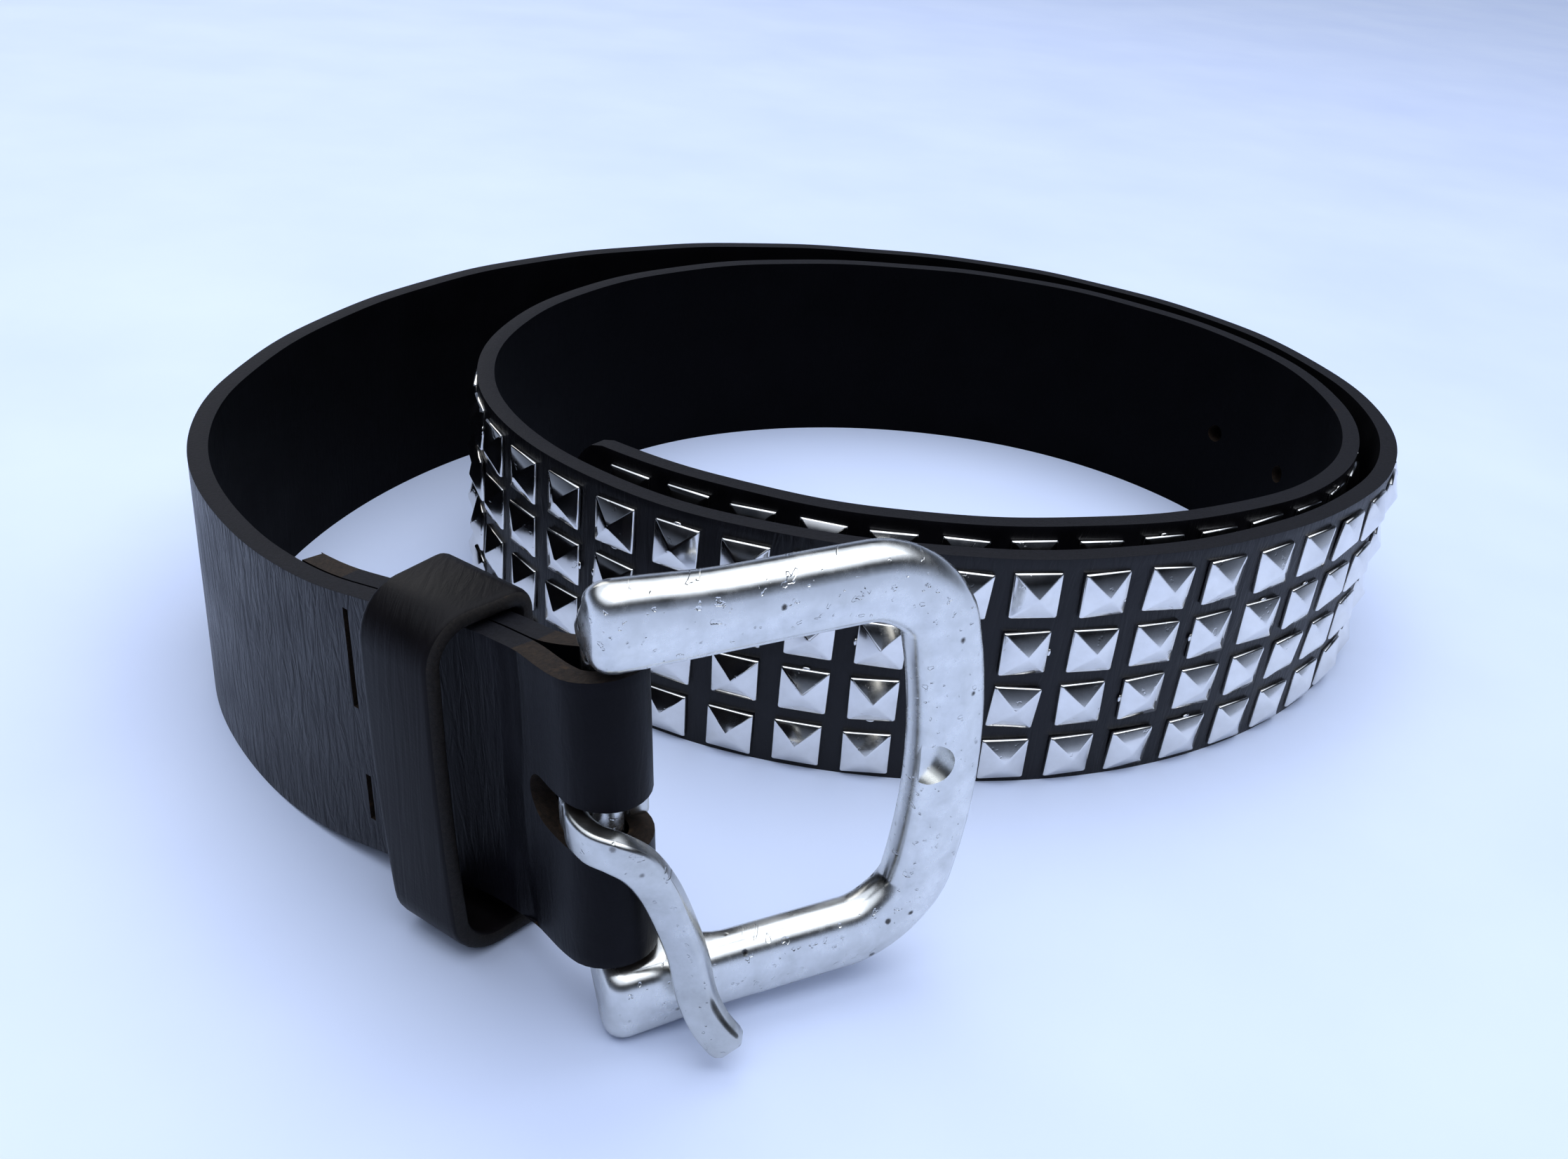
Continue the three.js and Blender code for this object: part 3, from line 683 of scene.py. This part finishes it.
flat = np.array([v.co for v in strap.data.vertices])
s, h = flat[:, 0], flat[:, 1]
grain = flat[:, 2] > HALF - 0.02
fade = np.clip(np.minimum(h, STRAP_WIDTH - h) / RIM_FADE, 0, 1)
flat[:, 2] -= np.where(grain, (1 - swell(s, h)) * SWELL * fade, 0)
valley = CREASE_PLACE + CREASE_WANDER * np.sin(h / CREASE_WAVE)
crease = CREASE_DEPTH * np.exp(-((s - valley) / CREASE_WIDTH) ** 2)
flat[:, 2] -= np.where(grain, crease, 0)
fray = s < -FOLD_ARC - FOLD_BACK + FRAY_RUN
flat[:, 0] += np.where(fray, np.random.default_rng(3).uniform(0, FRAY, len(flat)), 0)
ripple = RIPPLE * np.sin(s / RIPPLE_WAVE + RIPPLE_START) * np.sin(s / RIPPLE_BEAT)
ripple = ripple + SMALL_RIPPLE * np.sin(s / SMALL_WAVE)
settled = np.clip((s - LIFT_RUN) / RIPPLE_FADE, 0, 1) * np.clip((tip_start - s) / RIPPLE_FADE, 0, 1)
flat[:, 1] += ripple * settled * np.clip(h / STRAP_WIDTH, 0, 1)
strap.data.vertices.foreach_set("co", bend_strap(flat).ravel())
face_outward(strap)

# %% [markdown]
# The slot for the prong, the round holes and the two slits where the keeper is fixed are
# punched through the bent leather with plain cutters, as a punch would, so their walls are
# square to the leather.

# %% Punch the strap
ROUND_SIDES = 32
SLOT_TRIM = 0.002
SLIT_WIDTH = 0.9
SLIT_DEPTH = 1.1
SLITS = [
    {"distance": 38.8, "low": 22, "high": 36},
    {"distance": 38, "low": 5, "high": 12},
]


def frame_at(distance, offset, height_on_strap):
    """A matrix whose axes are the strap's direction, its height and its outward normal."""
    at = Vector(place(distance, offset, height_on_strap))
    heading = float(route(distance)[2])
    direction = Vector((math.cos(heading), math.sin(heading), 0))
    outward = Vector((-math.sin(heading), math.cos(heading), 0))
    tall = Vector((-float(lean(np.float64(distance))), 0, 1)).normalized()
    axes = Matrix((direction, tall, outward)).transposed().to_4x4()
    return Matrix.Translation(at) @ axes


def box_cutter(matrix, size):
    """A box of a size in millimetres, centred on a place in the frame."""
    bpy.ops.object.select_all(action="DESELECT")
    bpy.ops.mesh.primitive_cube_add(size=1)
    made = bpy.context.object
    made.data.transform(matrix @ Matrix.Diagonal(Vector(size) * MM).to_4x4())
    return made


def round_cutter(matrix, radius, depth):
    """A round punch of a radius and depth in millimetres, centred on a place in the frame."""
    bpy.ops.object.select_all(action="DESELECT")
    bpy.ops.mesh.primitive_cylinder_add(vertices=ROUND_SIDES, radius=radius * MM, depth=depth * MM)
    made = bpy.context.object
    made.data.transform(matrix)
    return made


slot_depth = 2 * (FOLD_RADIUS + 2 * STRAP_THICKNESS)
bar_height = MIDDLE + STRAP_DROP
slot_end = SLOT_REACH - SLOT_WIDTH / 2
slot_run = slot_end + 2 * SLOT_REACH
level = frame_at(0, -BAR_INSET, bar_height)
cutters = [
    box_cutter(level @ Matrix.Translation(((slot_end - slot_run / 2) * MM, 0, 0)),
               (slot_run, SLOT_WIDTH, slot_depth)),
    round_cutter(level @ Matrix.Translation((slot_end * MM, 0, 0)),
                 SLOT_WIDTH / 2 - SLOT_TRIM, slot_depth),
]
hole_height = LOWEST_ROW + ROW_PITCH * (STUD_ROWS - 1) / 2
for i in range(HOLE_COUNT):
    distance = STUDS_START + (FIRST_HOLE_COLUMN + i * HOLE_STEP) * COLUMN_PITCH
    at = frame_at(distance, 0, hole_height)
    cutters.append(round_cutter(at, HOLE_RADIUS, 2 * STRAP_THICKNESS))
for slit in SLITS:
    middle = (slit["low"] + slit["high"]) / 2
    at = frame_at(slit["distance"], HALF, middle)
    cutters.append(box_cutter(at, (SLIT_WIDTH, slit["high"] - slit["low"], 2 * SLIT_DEPTH)))
for finish in (grain_leather, flesh_leather_with_painted_shade, rim_leather, raw_leather):
    strap.data.materials.append(finish)
strap.data.polygons.foreach_set("material_index", face_kind.astype(np.int32))
cut(strap, cutters, raw_leather)
smooth(strap, 40)
print("strap after punching:", len(strap.data.polygons), "faces")

# %% [markdown]
# A pyramid stud is pressed from thin nickel-plated sheet. One is modelled: a low block whose
# top is poked up to a point, with its edges softened by the press. It is then copied into
# every place of the field, each copy tilted a hair as hand-set studs are. Beside some studs
# the shoulder of a leg shows as a small bright nub.

# %% One stud
STUD_WALL = 0.45
STUD_SOFTNESS = 0.22
STUD_SINK = 0.3
STUD_TILT = 1.6
NUB_SHARE = 0.3
NUB_SIZE = (0.5, 1.3, 0.5)
NUB_STEP = 0.15
NUB_RISE = 0.1
SET_PLAY = 0.12

bpy.ops.object.select_all(action="DESELECT")
bpy.ops.mesh.primitive_cube_add(size=1)
stud = bpy.context.object
stud.name = "stud"
block = STUD_WALL + STUD_SINK
stud.data.transform(Matrix.Diagonal((STUD_SIDE * MM, STUD_SIDE * MM, block * MM, 1)))
stud.data.transform(Matrix.Translation((0, 0, (block / 2 - STUD_SINK) * MM)))
bpy.ops.object.mode_set(mode="EDIT")
bpy.ops.mesh.select_mode(type="FACE")
edit = bmesh.from_edit_mesh(stud.data)
for face in edit.faces:
    face.select = face.normal.z > 0.9
bmesh.update_edit_mesh(stud.data)
bpy.ops.mesh.poke(offset=(STUD_HEIGHT - STUD_WALL) * MM)
bpy.ops.object.mode_set(mode="OBJECT")
apply_modifier(stud, "BEVEL", width=STUD_SOFTNESS * MM, segments=2, limit_method="ANGLE",
               angle_limit=math.radians(12), affect="EDGES")
smooth(stud, 30)

bpy.ops.object.select_all(action="DESELECT")
bpy.ops.mesh.primitive_uv_sphere_add(segments=8, ring_count=6, radius=0.5)
nub = bpy.context.object
nub.data.transform(Matrix.Diagonal((*(Vector(NUB_SIZE) * MM), 1)))
smooth(nub, 60)
print("one stud:", len(stud.data.polygons), "faces")

# %% The field of studs
chance = random.Random(7)
field = []


def set_copy(model, matrix):
    """Copies a model into the field, with its place in its own mesh."""
    copy = model.copy()
    copy.data = model.data.copy()
    copy.data.transform(matrix)
    bpy.context.scene.collection.objects.link(copy)
    field.append(copy)


for i in range(STUD_COLUMNS):
    for row in range(STUD_ROWS):
        distance = STUDS_START + (i + 0.5) * COLUMN_PITCH + chance.uniform(-SET_PLAY, SET_PLAY)
        height_on_strap = LOWEST_ROW + row * ROW_PITCH + chance.uniform(-SET_PLAY, SET_PLAY)
        at = frame_at(distance, HALF, height_on_strap)
        tilt = Matrix.Rotation(math.radians(chance.gauss(0, STUD_TILT)), 4, "X")
        tilt = tilt @ Matrix.Rotation(math.radians(chance.gauss(0, STUD_TILT)), 4, "Y")
        tilt = tilt @ Matrix.Rotation(math.radians(chance.gauss(0, STUD_TILT)), 4, "Z")
        set_copy(stud, at @ tilt)
        if chance.random() < NUB_SHARE:
            side = chance.choice([(-1, 0, 0), (1, 0, 0), (0, 1, 90), (0, -1, 90)])
            reach = (STUD_SIDE / 2 + NUB_STEP) * MM
            step = Matrix.Translation((side[0] * reach, side[1] * reach, NUB_RISE * MM))
            turned = Matrix.Rotation(math.radians(side[2]), 4, "Z")
            set_copy(nub, at @ step @ turned)
bpy.data.objects.remove(stud)
bpy.data.objects.remove(nub)
bpy.ops.object.select_all(action="DESELECT")
for copy in field:
    copy.select_set(True)
bpy.context.view_layer.objects.active = field[0]
bpy.ops.object.join()
studs = bpy.context.object
studs.name = "studs"
face_outward(studs)
print("studs:", len(studs.data.polygons), "faces")

# %% [markdown]
# The keeper is a short strip of the same leather bent round both layers. Its section, with
# rounded rims, is lofted round a rectangle whose front corners are wide, because thick leather
# won't bend tighter, while its back lies close to the strap.

# %% Keeper
KEEPER_BAND = 12
KEEPER_THICKNESS = 2.3
KEEPER_START = 16
KEEPER_ROOM = 4.3
KEEPER_TOP_ROOM = 0.5
KEEPER_FOOT = 0.3
KEEPER_BACK_GAP = 0.3
KEEPER_CORNER = 6.3
KEEPER_BACK_CORNER = 2.8
KEEPER_RIM = 1
KEEPER_CROWN = 0.5
KEEPER_CORNER_STEPS = 8
KEEPER_FRONT_STOPS = 8


def rounded_section(width, depth, radius, steps):
    """Points round a rectangle from (0, 0) to (width, depth) with rounded corners."""
    points = []
    for x, y, start in ((width - radius, depth - radius, 0), (radius, depth - radius, 90),
                        (radius, radius, 180), (width - radius, radius, 270)):
        for i in range(steps + 1):
            angle = math.radians(start + 90 * i / steps)
            points.append((x + radius * math.cos(angle), y + radius * math.sin(angle)))
    return points


back = -LAYER_STEP - HALF - KEEPER_BACK_GAP
front = HALF + KEEPER_ROOM
low = KEEPER_FOOT + KEEPER_THICKNESS
high = float(lift(np.float64(KEEPER_START))) + STRAP_WIDTH + KEEPER_TOP_ROOM
band = rounded_section(KEEPER_BAND, KEEPER_THICKNESS, KEEPER_RIM, 4)
corners = [
    (front, high, -1, -1, KEEPER_CORNER, 0), (back, high, 1, -1, KEEPER_BACK_CORNER, 90),
    (back, low, 1, 1, KEEPER_BACK_CORNER, 180), (front, low, -1, 1, KEEPER_CORNER, 270),
]
path = []
for x, z, in_x, in_z, radius, start in corners:
    inner = radius - KEEPER_THICKNESS
    for i in range(KEEPER_CORNER_STEPS + 1):
        angle = math.radians(start + 90 * i / KEEPER_CORNER_STEPS)
        path.append((x + in_x * inner, z + in_z * inner, inner, angle))
front_stops = np.linspace(low + KEEPER_CORNER, high - KEEPER_CORNER, KEEPER_FRONT_STOPS)
path += [(front, z, 0, 0) for z in front_stops]
rings = []
for x, z, inner, angle in path:
    ring = []
    share = np.clip((z - low) / (high - low), 0, 1)
    crown = KEEPER_CROWN * math.sin(math.pi * share) * (x > 0)
    for across, thick in band:
        distance = KEEPER_START + across
        offset = x + (inner + thick) * math.cos(angle) + crown
        z_here = z + (inner + thick) * math.sin(angle)
        ring.append(place(distance, offset, z_here - lift(np.float64(distance))))
    rings.append(ring)
keeper = loft("keeper_band", rings, closed=True)
smooth(keeper, 50)
keeper.data.materials.append(keeper_leather)
keeper.data.materials.append(keeper_rim)
heading = float(route(KEEPER_START + KEEPER_BAND / 2)[2])
along_strap = np.array([math.cos(heading), math.sin(heading), 0])
for face in keeper.data.polygons:
    face.material_index = 1 if abs(np.dot(np.array(face.normal), along_strap)) > 0.75 else 0
print("keeper:", len(keeper.data.polygons), "faces")

# %% [markdown]
# The buckle is cast in one piece: two legs, a bowed far side and a heel that deepens to carry
# the bar. It is lofted through sections in its own axes, along the legs, along the bar and
# to the front, and the bar and the prong's notch are joined and cut with cylinders.

# %% Axes and sizes of the buckle
FRAME_SWING = 69.7
FRAME_WINDOW = 39.6
FRAME_LEG = 9.2
FRAME_THICKNESS = 5.4
FRAME_LENGTH = 35.4
FRAME_BOW = 4
FRAME_CORNER = 7.4
FRAME_SETBACK = 4.1
FRAME_EDGE = 2.5
HEEL_REACH = 2.4
HEEL_RUN = 13
HEEL_COVER = 0.4
HEEL_ROUND = 2.4
HEEL_FLARE = 0.9
NOTCH_RADIUS = 2.7
NOTCH_REACH = 4.6
NOTCH_DEPTH = 1
NOTCH_STROKE = 4
NOTCH_SLOPE = 8
NOTCH_SIDES = 40
FRONT_CROWN = 0.5
CROWN_SHARE = 0.6
HEEL_FULL = 3
HEEL_INSET = 0.8
LEG_MIDDLE = (FRAME_WINDOW + FRAME_LEG) / 2

bar_axis = Vector(swing["axis"]).normalized()
leg_heading = math.radians(START_HEADING + 180 + FRAME_SWING)
leg_line = Vector((math.cos(leg_heading), math.sin(leg_heading), 0))
leg_line = (leg_line - bar_axis * leg_line.dot(bar_axis)).normalized()
front_line = leg_line.cross(bar_axis)
buckle_axes = Matrix.Translation(Vector(bar_middle)) @ Matrix(
    (leg_line, bar_axis, front_line)).transposed().to_4x4() @ Matrix.Scale(MM, 4)


def smoothstep(x):
    """A soft step from 0 to 1."""
    t = min(max(x, 0), 1)
    return t * t * (3 - 2 * t)


# %% Frame of the buckle
frame_front = FRAME_SETBACK + FRAME_THICKNESS / 2
plain_back = FRAME_SETBACK - FRAME_THICKNESS / 2
heel_back = -BAR_RADIUS - HEEL_COVER
leg_end = FRAME_LENGTH - FRAME_CORNER


def frame_ring(centre, outward, inner_back, outer_back, front_at, width):
    """One section of the frame: rounded corners, a crowned front and its own back on each side."""
    ring = []

    def add_point(across, forward_at):
        ring.append((centre[0] + across * outward[0], centre[1] + across * outward[1], forward_at))

    r = min(FRAME_EDGE, width / 2.2, (front_at - max(inner_back, outer_back)) / 2.05)
    for u, w, start in ((width / 2 - r, front_at - r, 0), (r - width / 2, front_at - r, 90),
                        (r - width / 2, inner_back + r, 180), (width / 2 - r, outer_back + r, 270)):
        for i in range(5):
            angle = math.radians(start + 90 * i / 4)
            add_point(u + r * math.cos(angle), w + r * math.sin(angle))
        if start == 0:
            for t in (0.25, 0.5, 0.75):
                crown = FRONT_CROWN * (1 - (1 - 2 * t) ** 2) * CROWN_SHARE
                add_point((width / 2 - r) * (1 - 2 * t), front_at + crown)
    return ring


stops_x = [HEEL_ROUND * s - HEEL_REACH for s in (0, 0.08, 0.22, 0.45, 0.7, 1)]
stops_x += list(np.linspace(1.5, HEEL_RUN, 9)) + [17, 21, 25]
centres = [((x, LEG_MIDDLE), (0, 1)) for x in stops_x]
for i in range(13):
    angle = math.pi / 2 * (1 - i / 12)
    outward = (math.cos(angle), math.sin(angle))
    centres.append(((leg_end + FRAME_CORNER * outward[0],
                     LEG_MIDDLE - FRAME_CORNER + FRAME_CORNER * outward[1]), outward))
for y in np.linspace(LEG_MIDDLE - FRAME_CORNER, 0, 6)[1:]:
    centres.append(((FRAME_LENGTH, float(y)), (1, 0)))
centres += [((x, -y), (u, -v)) for (x, y), (u, v) in reversed(centres[:-1])]
rings = []
for (x, y), outward in centres:
    to_far = min(max((x - HEEL_RUN) / (FRAME_LENGTH - HEEL_RUN), 0), 1)
    heel = smoothstep((HEEL_RUN - x) / (HEEL_RUN - HEEL_FULL))
    from_end = min(max((x + HEEL_REACH) / HEEL_ROUND, 0), 1)
    inset = HEEL_ROUND * (1 - math.sqrt(1 - (1 - from_end) ** 2)) * HEEL_INSET
    flare = HEEL_FLARE * smoothstep((HEEL_RUN - x) / (HEEL_RUN + HEEL_REACH))
    y += math.copysign(flare / 2, y) if y else 0
    x += FRAME_BOW * (1 - (y / LEG_MIDDLE) ** 2) * to_far**2
    inner_back = plain_back + (heel_back - plain_back) * heel + inset
    ring = frame_ring((x, y), outward, inner_back, plain_back + inset / 2, frame_front - inset,
                      FRAME_LEG + flare - 2 * inset)
    rings.append([buckle_axes @ Vector(p) for p in ring])
buckle = loft("cast_buckle", rings)

bpy.ops.object.select_all(action="DESELECT")
bpy.ops.mesh.primitive_cylinder_add(vertices=ROUND_SIDES, radius=BAR_RADIUS, depth=2 * LEG_MIDDLE)
bar = bpy.context.object
bar.data.transform(buckle_axes @ Matrix.Rotation(math.pi / 2, 4, "X"))
apply_modifier(buckle, "BOOLEAN", operation="UNION", solver="EXACT", object=bar)
bpy.data.objects.remove(bar)
bpy.ops.object.select_all(action="DESELECT")
bpy.ops.mesh.primitive_cylinder_add(vertices=NOTCH_SIDES, radius=NOTCH_RADIUS, depth=NOTCH_STROKE)
notch = bpy.context.object
window_edge = FRAME_LENGTH + FRAME_BOW - FRAME_LEG / 2
notch_place = Vector((
    window_edge + NOTCH_REACH - NOTCH_RADIUS, 0, frame_front - NOTCH_DEPTH + NOTCH_STROKE / 2))
notch.data.transform(buckle_axes @ Matrix.Translation(notch_place)
                     @ Matrix.Rotation(math.radians(NOTCH_SLOPE), 4, "Y"))
cut(buckle, [notch])
smooth(buckle, 32)
print("buckle:", len(buckle.data.polygons), "faces")

# %% [markdown]
# The prong is a flat bar bent round the buckle's bar into an open loop, then out through the
# slot and down. Its route is a smooth line through a few chosen points, and its section turns
# with it, so the broad face looks where the real one does.

# %% Prong
PRONG_WIDTH = 4.4
PRONG_THICKNESS = 2.6
PRONG_CLEARANCE = 0.35
PRONG_EDGE = 0.65
PRONG_LOOP_START = 10
PRONG_LOOP_TURN = 200
PRONG_LOOP_STEPS = 9
PRONG_STEPS = 5
PRONG_END_TAPER = 0.3
PRONG_END_RUN = 2.5
PRONG_SHANK = [
    {"x": -3.9, "y": 0, "z": 3, "face": 165},
    {"x": -3.1, "y": -0.1, "z": 5.6, "face": 148},
    {"x": -1.2, "y": -0.6, "z": 7.3, "face": 118},
    {"x": 1.2, "y": -2.8, "z": 7.6, "face": 105},
    {"x": 3.3, "y": -6.6, "z": 7.6, "face": 116},
    {"x": 5, "y": -11.4, "z": 7.9, "face": 126},
    {"x": 6.3, "y": -16.4, "z": 8.6, "face": 128},
    {"x": 6.9, "y": -21.4, "z": 9.7, "face": 122},
    {"x": 7.9, "y": -24.6, "z": 11.6, "face": 115},
    {"x": 9.8, "y": -27.4, "z": 13.3, "face": 110},
]

loop_radius = BAR_RADIUS + PRONG_CLEARANCE + PRONG_THICKNESS / 2
knots = []
for i in range(PRONG_LOOP_STEPS + 1):
    face = PRONG_LOOP_START - PRONG_LOOP_TURN * i / PRONG_LOOP_STEPS
    knots.append((loop_radius * math.cos(math.radians(face)), 0,
                  loop_radius * math.sin(math.radians(face)), face))
knots += [(k["x"], k["y"], k["z"], k["face"] - 360) for k in PRONG_SHANK]
knots = np.array(knots)


def between_knots(points, t):
    """A smooth line through points, in the manner of Catmull and Rom."""
    i = min(int(t), len(points) - 2)
    u = t - i
    p0, p1 = points[max(i - 1, 0)], points[i]
    p2, p3 = points[i + 1], points[min(i + 2, len(points) - 1)]
    return 0.5 * (2 * p1 + (p2 - p0) * u + (2 * p0 - 5 * p1 + 4 * p2 - p3) * u**2
                  + (3 * p1 - p0 - 3 * p2 + p3) * u**3)


line = np.array([between_knots(knots, t) for t in
                 np.linspace(0, len(knots) - 1, (len(knots) - 1) * PRONG_STEPS + 1)])
rings = []
for i, (x, y, z, face) in enumerate(line):
    here = Vector((x, y, z))
    ahead = Vector(line[min(i + 1, len(line) - 1)][:3]) - Vector(line[max(i - 1, 0)][:3])
    ahead.normalize()
    thick = Vector((math.cos(math.radians(face)), 0, math.sin(math.radians(face))))
    thick = (thick - ahead * thick.dot(ahead)).normalized()
    wide = thick.cross(ahead)
    to_end = min(i, len(line) - 1 - i) / PRONG_STEPS
    round_end = 1 - PRONG_END_TAPER * max(0, 1 - to_end * PRONG_END_RUN) ** 2
    ring = []
    for a, b in rounded_section(PRONG_WIDTH, PRONG_THICKNESS, PRONG_EDGE, 4):
        across = (a - PRONG_WIDTH / 2) * round_end
        up = (b - PRONG_THICKNESS / 2) * round_end
        ring.append(buckle_axes @ (here + wide * across + thick * up))
    rings.append(ring)
prong = loft("bent_prong", rings)
smooth(prong, 50)
print("prong:", len(prong.data.polygons), "faces")

# %% [markdown]
# The studs are steel sheet with bright nickel plating: a near mirror with faint rubbing. The
# buckle and prong are cast and bent metal with a thinner, older silver-coloured plating. It
# has gone satin, is full of fine scratches, and the casting's pits hold dark tarnish.

# %% Plated metals
SCRATCH_SPACING = 1.1
PIT_SPACING = 4
DENT_DEPTH = 0.12
# Counted per metre: a scratch is about 17 mm long, and a rubbed patch 4 mm wide
SCRATCH_RUNS = 60
RUB_PATCHES = 260
TARNISH = "#2b241d"


def plated(name, base, low_rough, high_rough, scratch, pits):
    """Plated metal: rubbed patches, fine scratches, and pits that hold dark tarnish."""
    made, tree, shader = material(name)
    where = add(tree, "ShaderNodeTexCoord").outputs["Object"]
    shader.inputs["Metallic"].default_value = 1
    rub = add(tree, "ShaderNodeTexNoise", {
        "Vector": where, "Scale": RUB_PATCHES, "Detail": 6, "Roughness": 0.65})
    roughness = span(tree, rub.outputs["Fac"], low_rough, high_rough, 0.3, 0.7)
    tree.links.new(roughness, shader.inputs["Roughness"])
    turned = add(tree, "ShaderNodeMapping", {
        "Vector": where, "Rotation": (0.4, 0.9, 0.5),
        "Scale": (1 / (SCRATCH_SPACING * MM), SCRATCH_RUNS, 1 / (SCRATCH_SPACING * MM))})
    lines = add(tree, "ShaderNodeTexNoise", {
        "Vector": turned.outputs["Vector"], "Scale": 1, "Detail": 2})
    scratches = span(tree, lines.outputs["Fac"], 0, 1, 0.66, 0.7)
    holes = add(tree, "ShaderNodeTexVoronoi", {"Vector": where, "Scale": 1 / (PIT_SPACING * MM)})
    ragged = add(tree, "ShaderNodeMath", {
        0: holes.outputs["Distance"], 1: span(tree, rub.outputs["Fac"], -0.08, 0.12)},
        operation="ADD")
    pitted = span(tree, ragged.outputs["Value"], 1, 0, 0.07, 0.13)
    dirt = add(tree, "ShaderNodeMath", {0: pitted, 1: pits}, operation="MULTIPLY")
    clean = ramp(tree, rub.outputs["Fac"], [(0.3, base[0]), (0.7, base[1])])
    tarnished = add(tree, "ShaderNodeMix", {
        "Factor": dirt.outputs["Value"], "A": clean, "B": colour(TARNISH)}, data_type="RGBA")
    tree.links.new(tarnished.outputs["Result"], shader.inputs["Base Color"])
    dents = add(tree, "ShaderNodeMath", {0: scratches, 1: dirt.outputs["Value"]}, operation="ADD")
    bump = add(tree, "ShaderNodeBump", {
        "Height": dents.outputs["Value"], "Strength": scratch, "Distance": DENT_DEPTH * MM}, invert=True)
    tree.links.new(bump.outputs["Normal"], shader.inputs["Normal"])
    return made


# Near mirrors, so each facet takes one tone from the room
stud_metal = plated("bright_nickel_plate", ("#dcdad6", "#eceae6"), 0.07, 0.16, 0.12, 0.0)
# Satin silver, mottled and pitted, with soft highlights along the legs
buckle_metal = plated("worn_silver_plate", ("#c8c8c4", "#e8e8e4"), 0.17, 0.33, 0.6, 0.9)
# A little greyer, since the prong rubs on the frame
prong_metal = plated("worn_bent_steel", ("#b9b9b4", "#d6d6d2"), 0.16, 0.3, 0.5, 0.6)
for piece, finish in ((studs, stud_metal), (buckle, buckle_metal), (prong, prong_metal)):
    piece.data.materials.clear()
    piece.data.materials.append(finish)

# %% [markdown]
# Last, each piece hides the solid that it stands for and is hung on what it moves with: the
# leather and studs with the belt, the cast frame and the prong each on its own hinge.

# %% Place the pieces in the frame
for piece, node, body, slot in (
        (strap, "strap", "belt", "strap_leather"), (studs, "strap", "belt", "stud_metal"),
        (keeper, "keeper", "belt", "keeper_leather"),
        (buckle, "buckle_frame", "frame", "buckle_metal"),
        (prong, "prong", "prong_body", "prong_metal")):
    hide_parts(node)
    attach(piece, body)
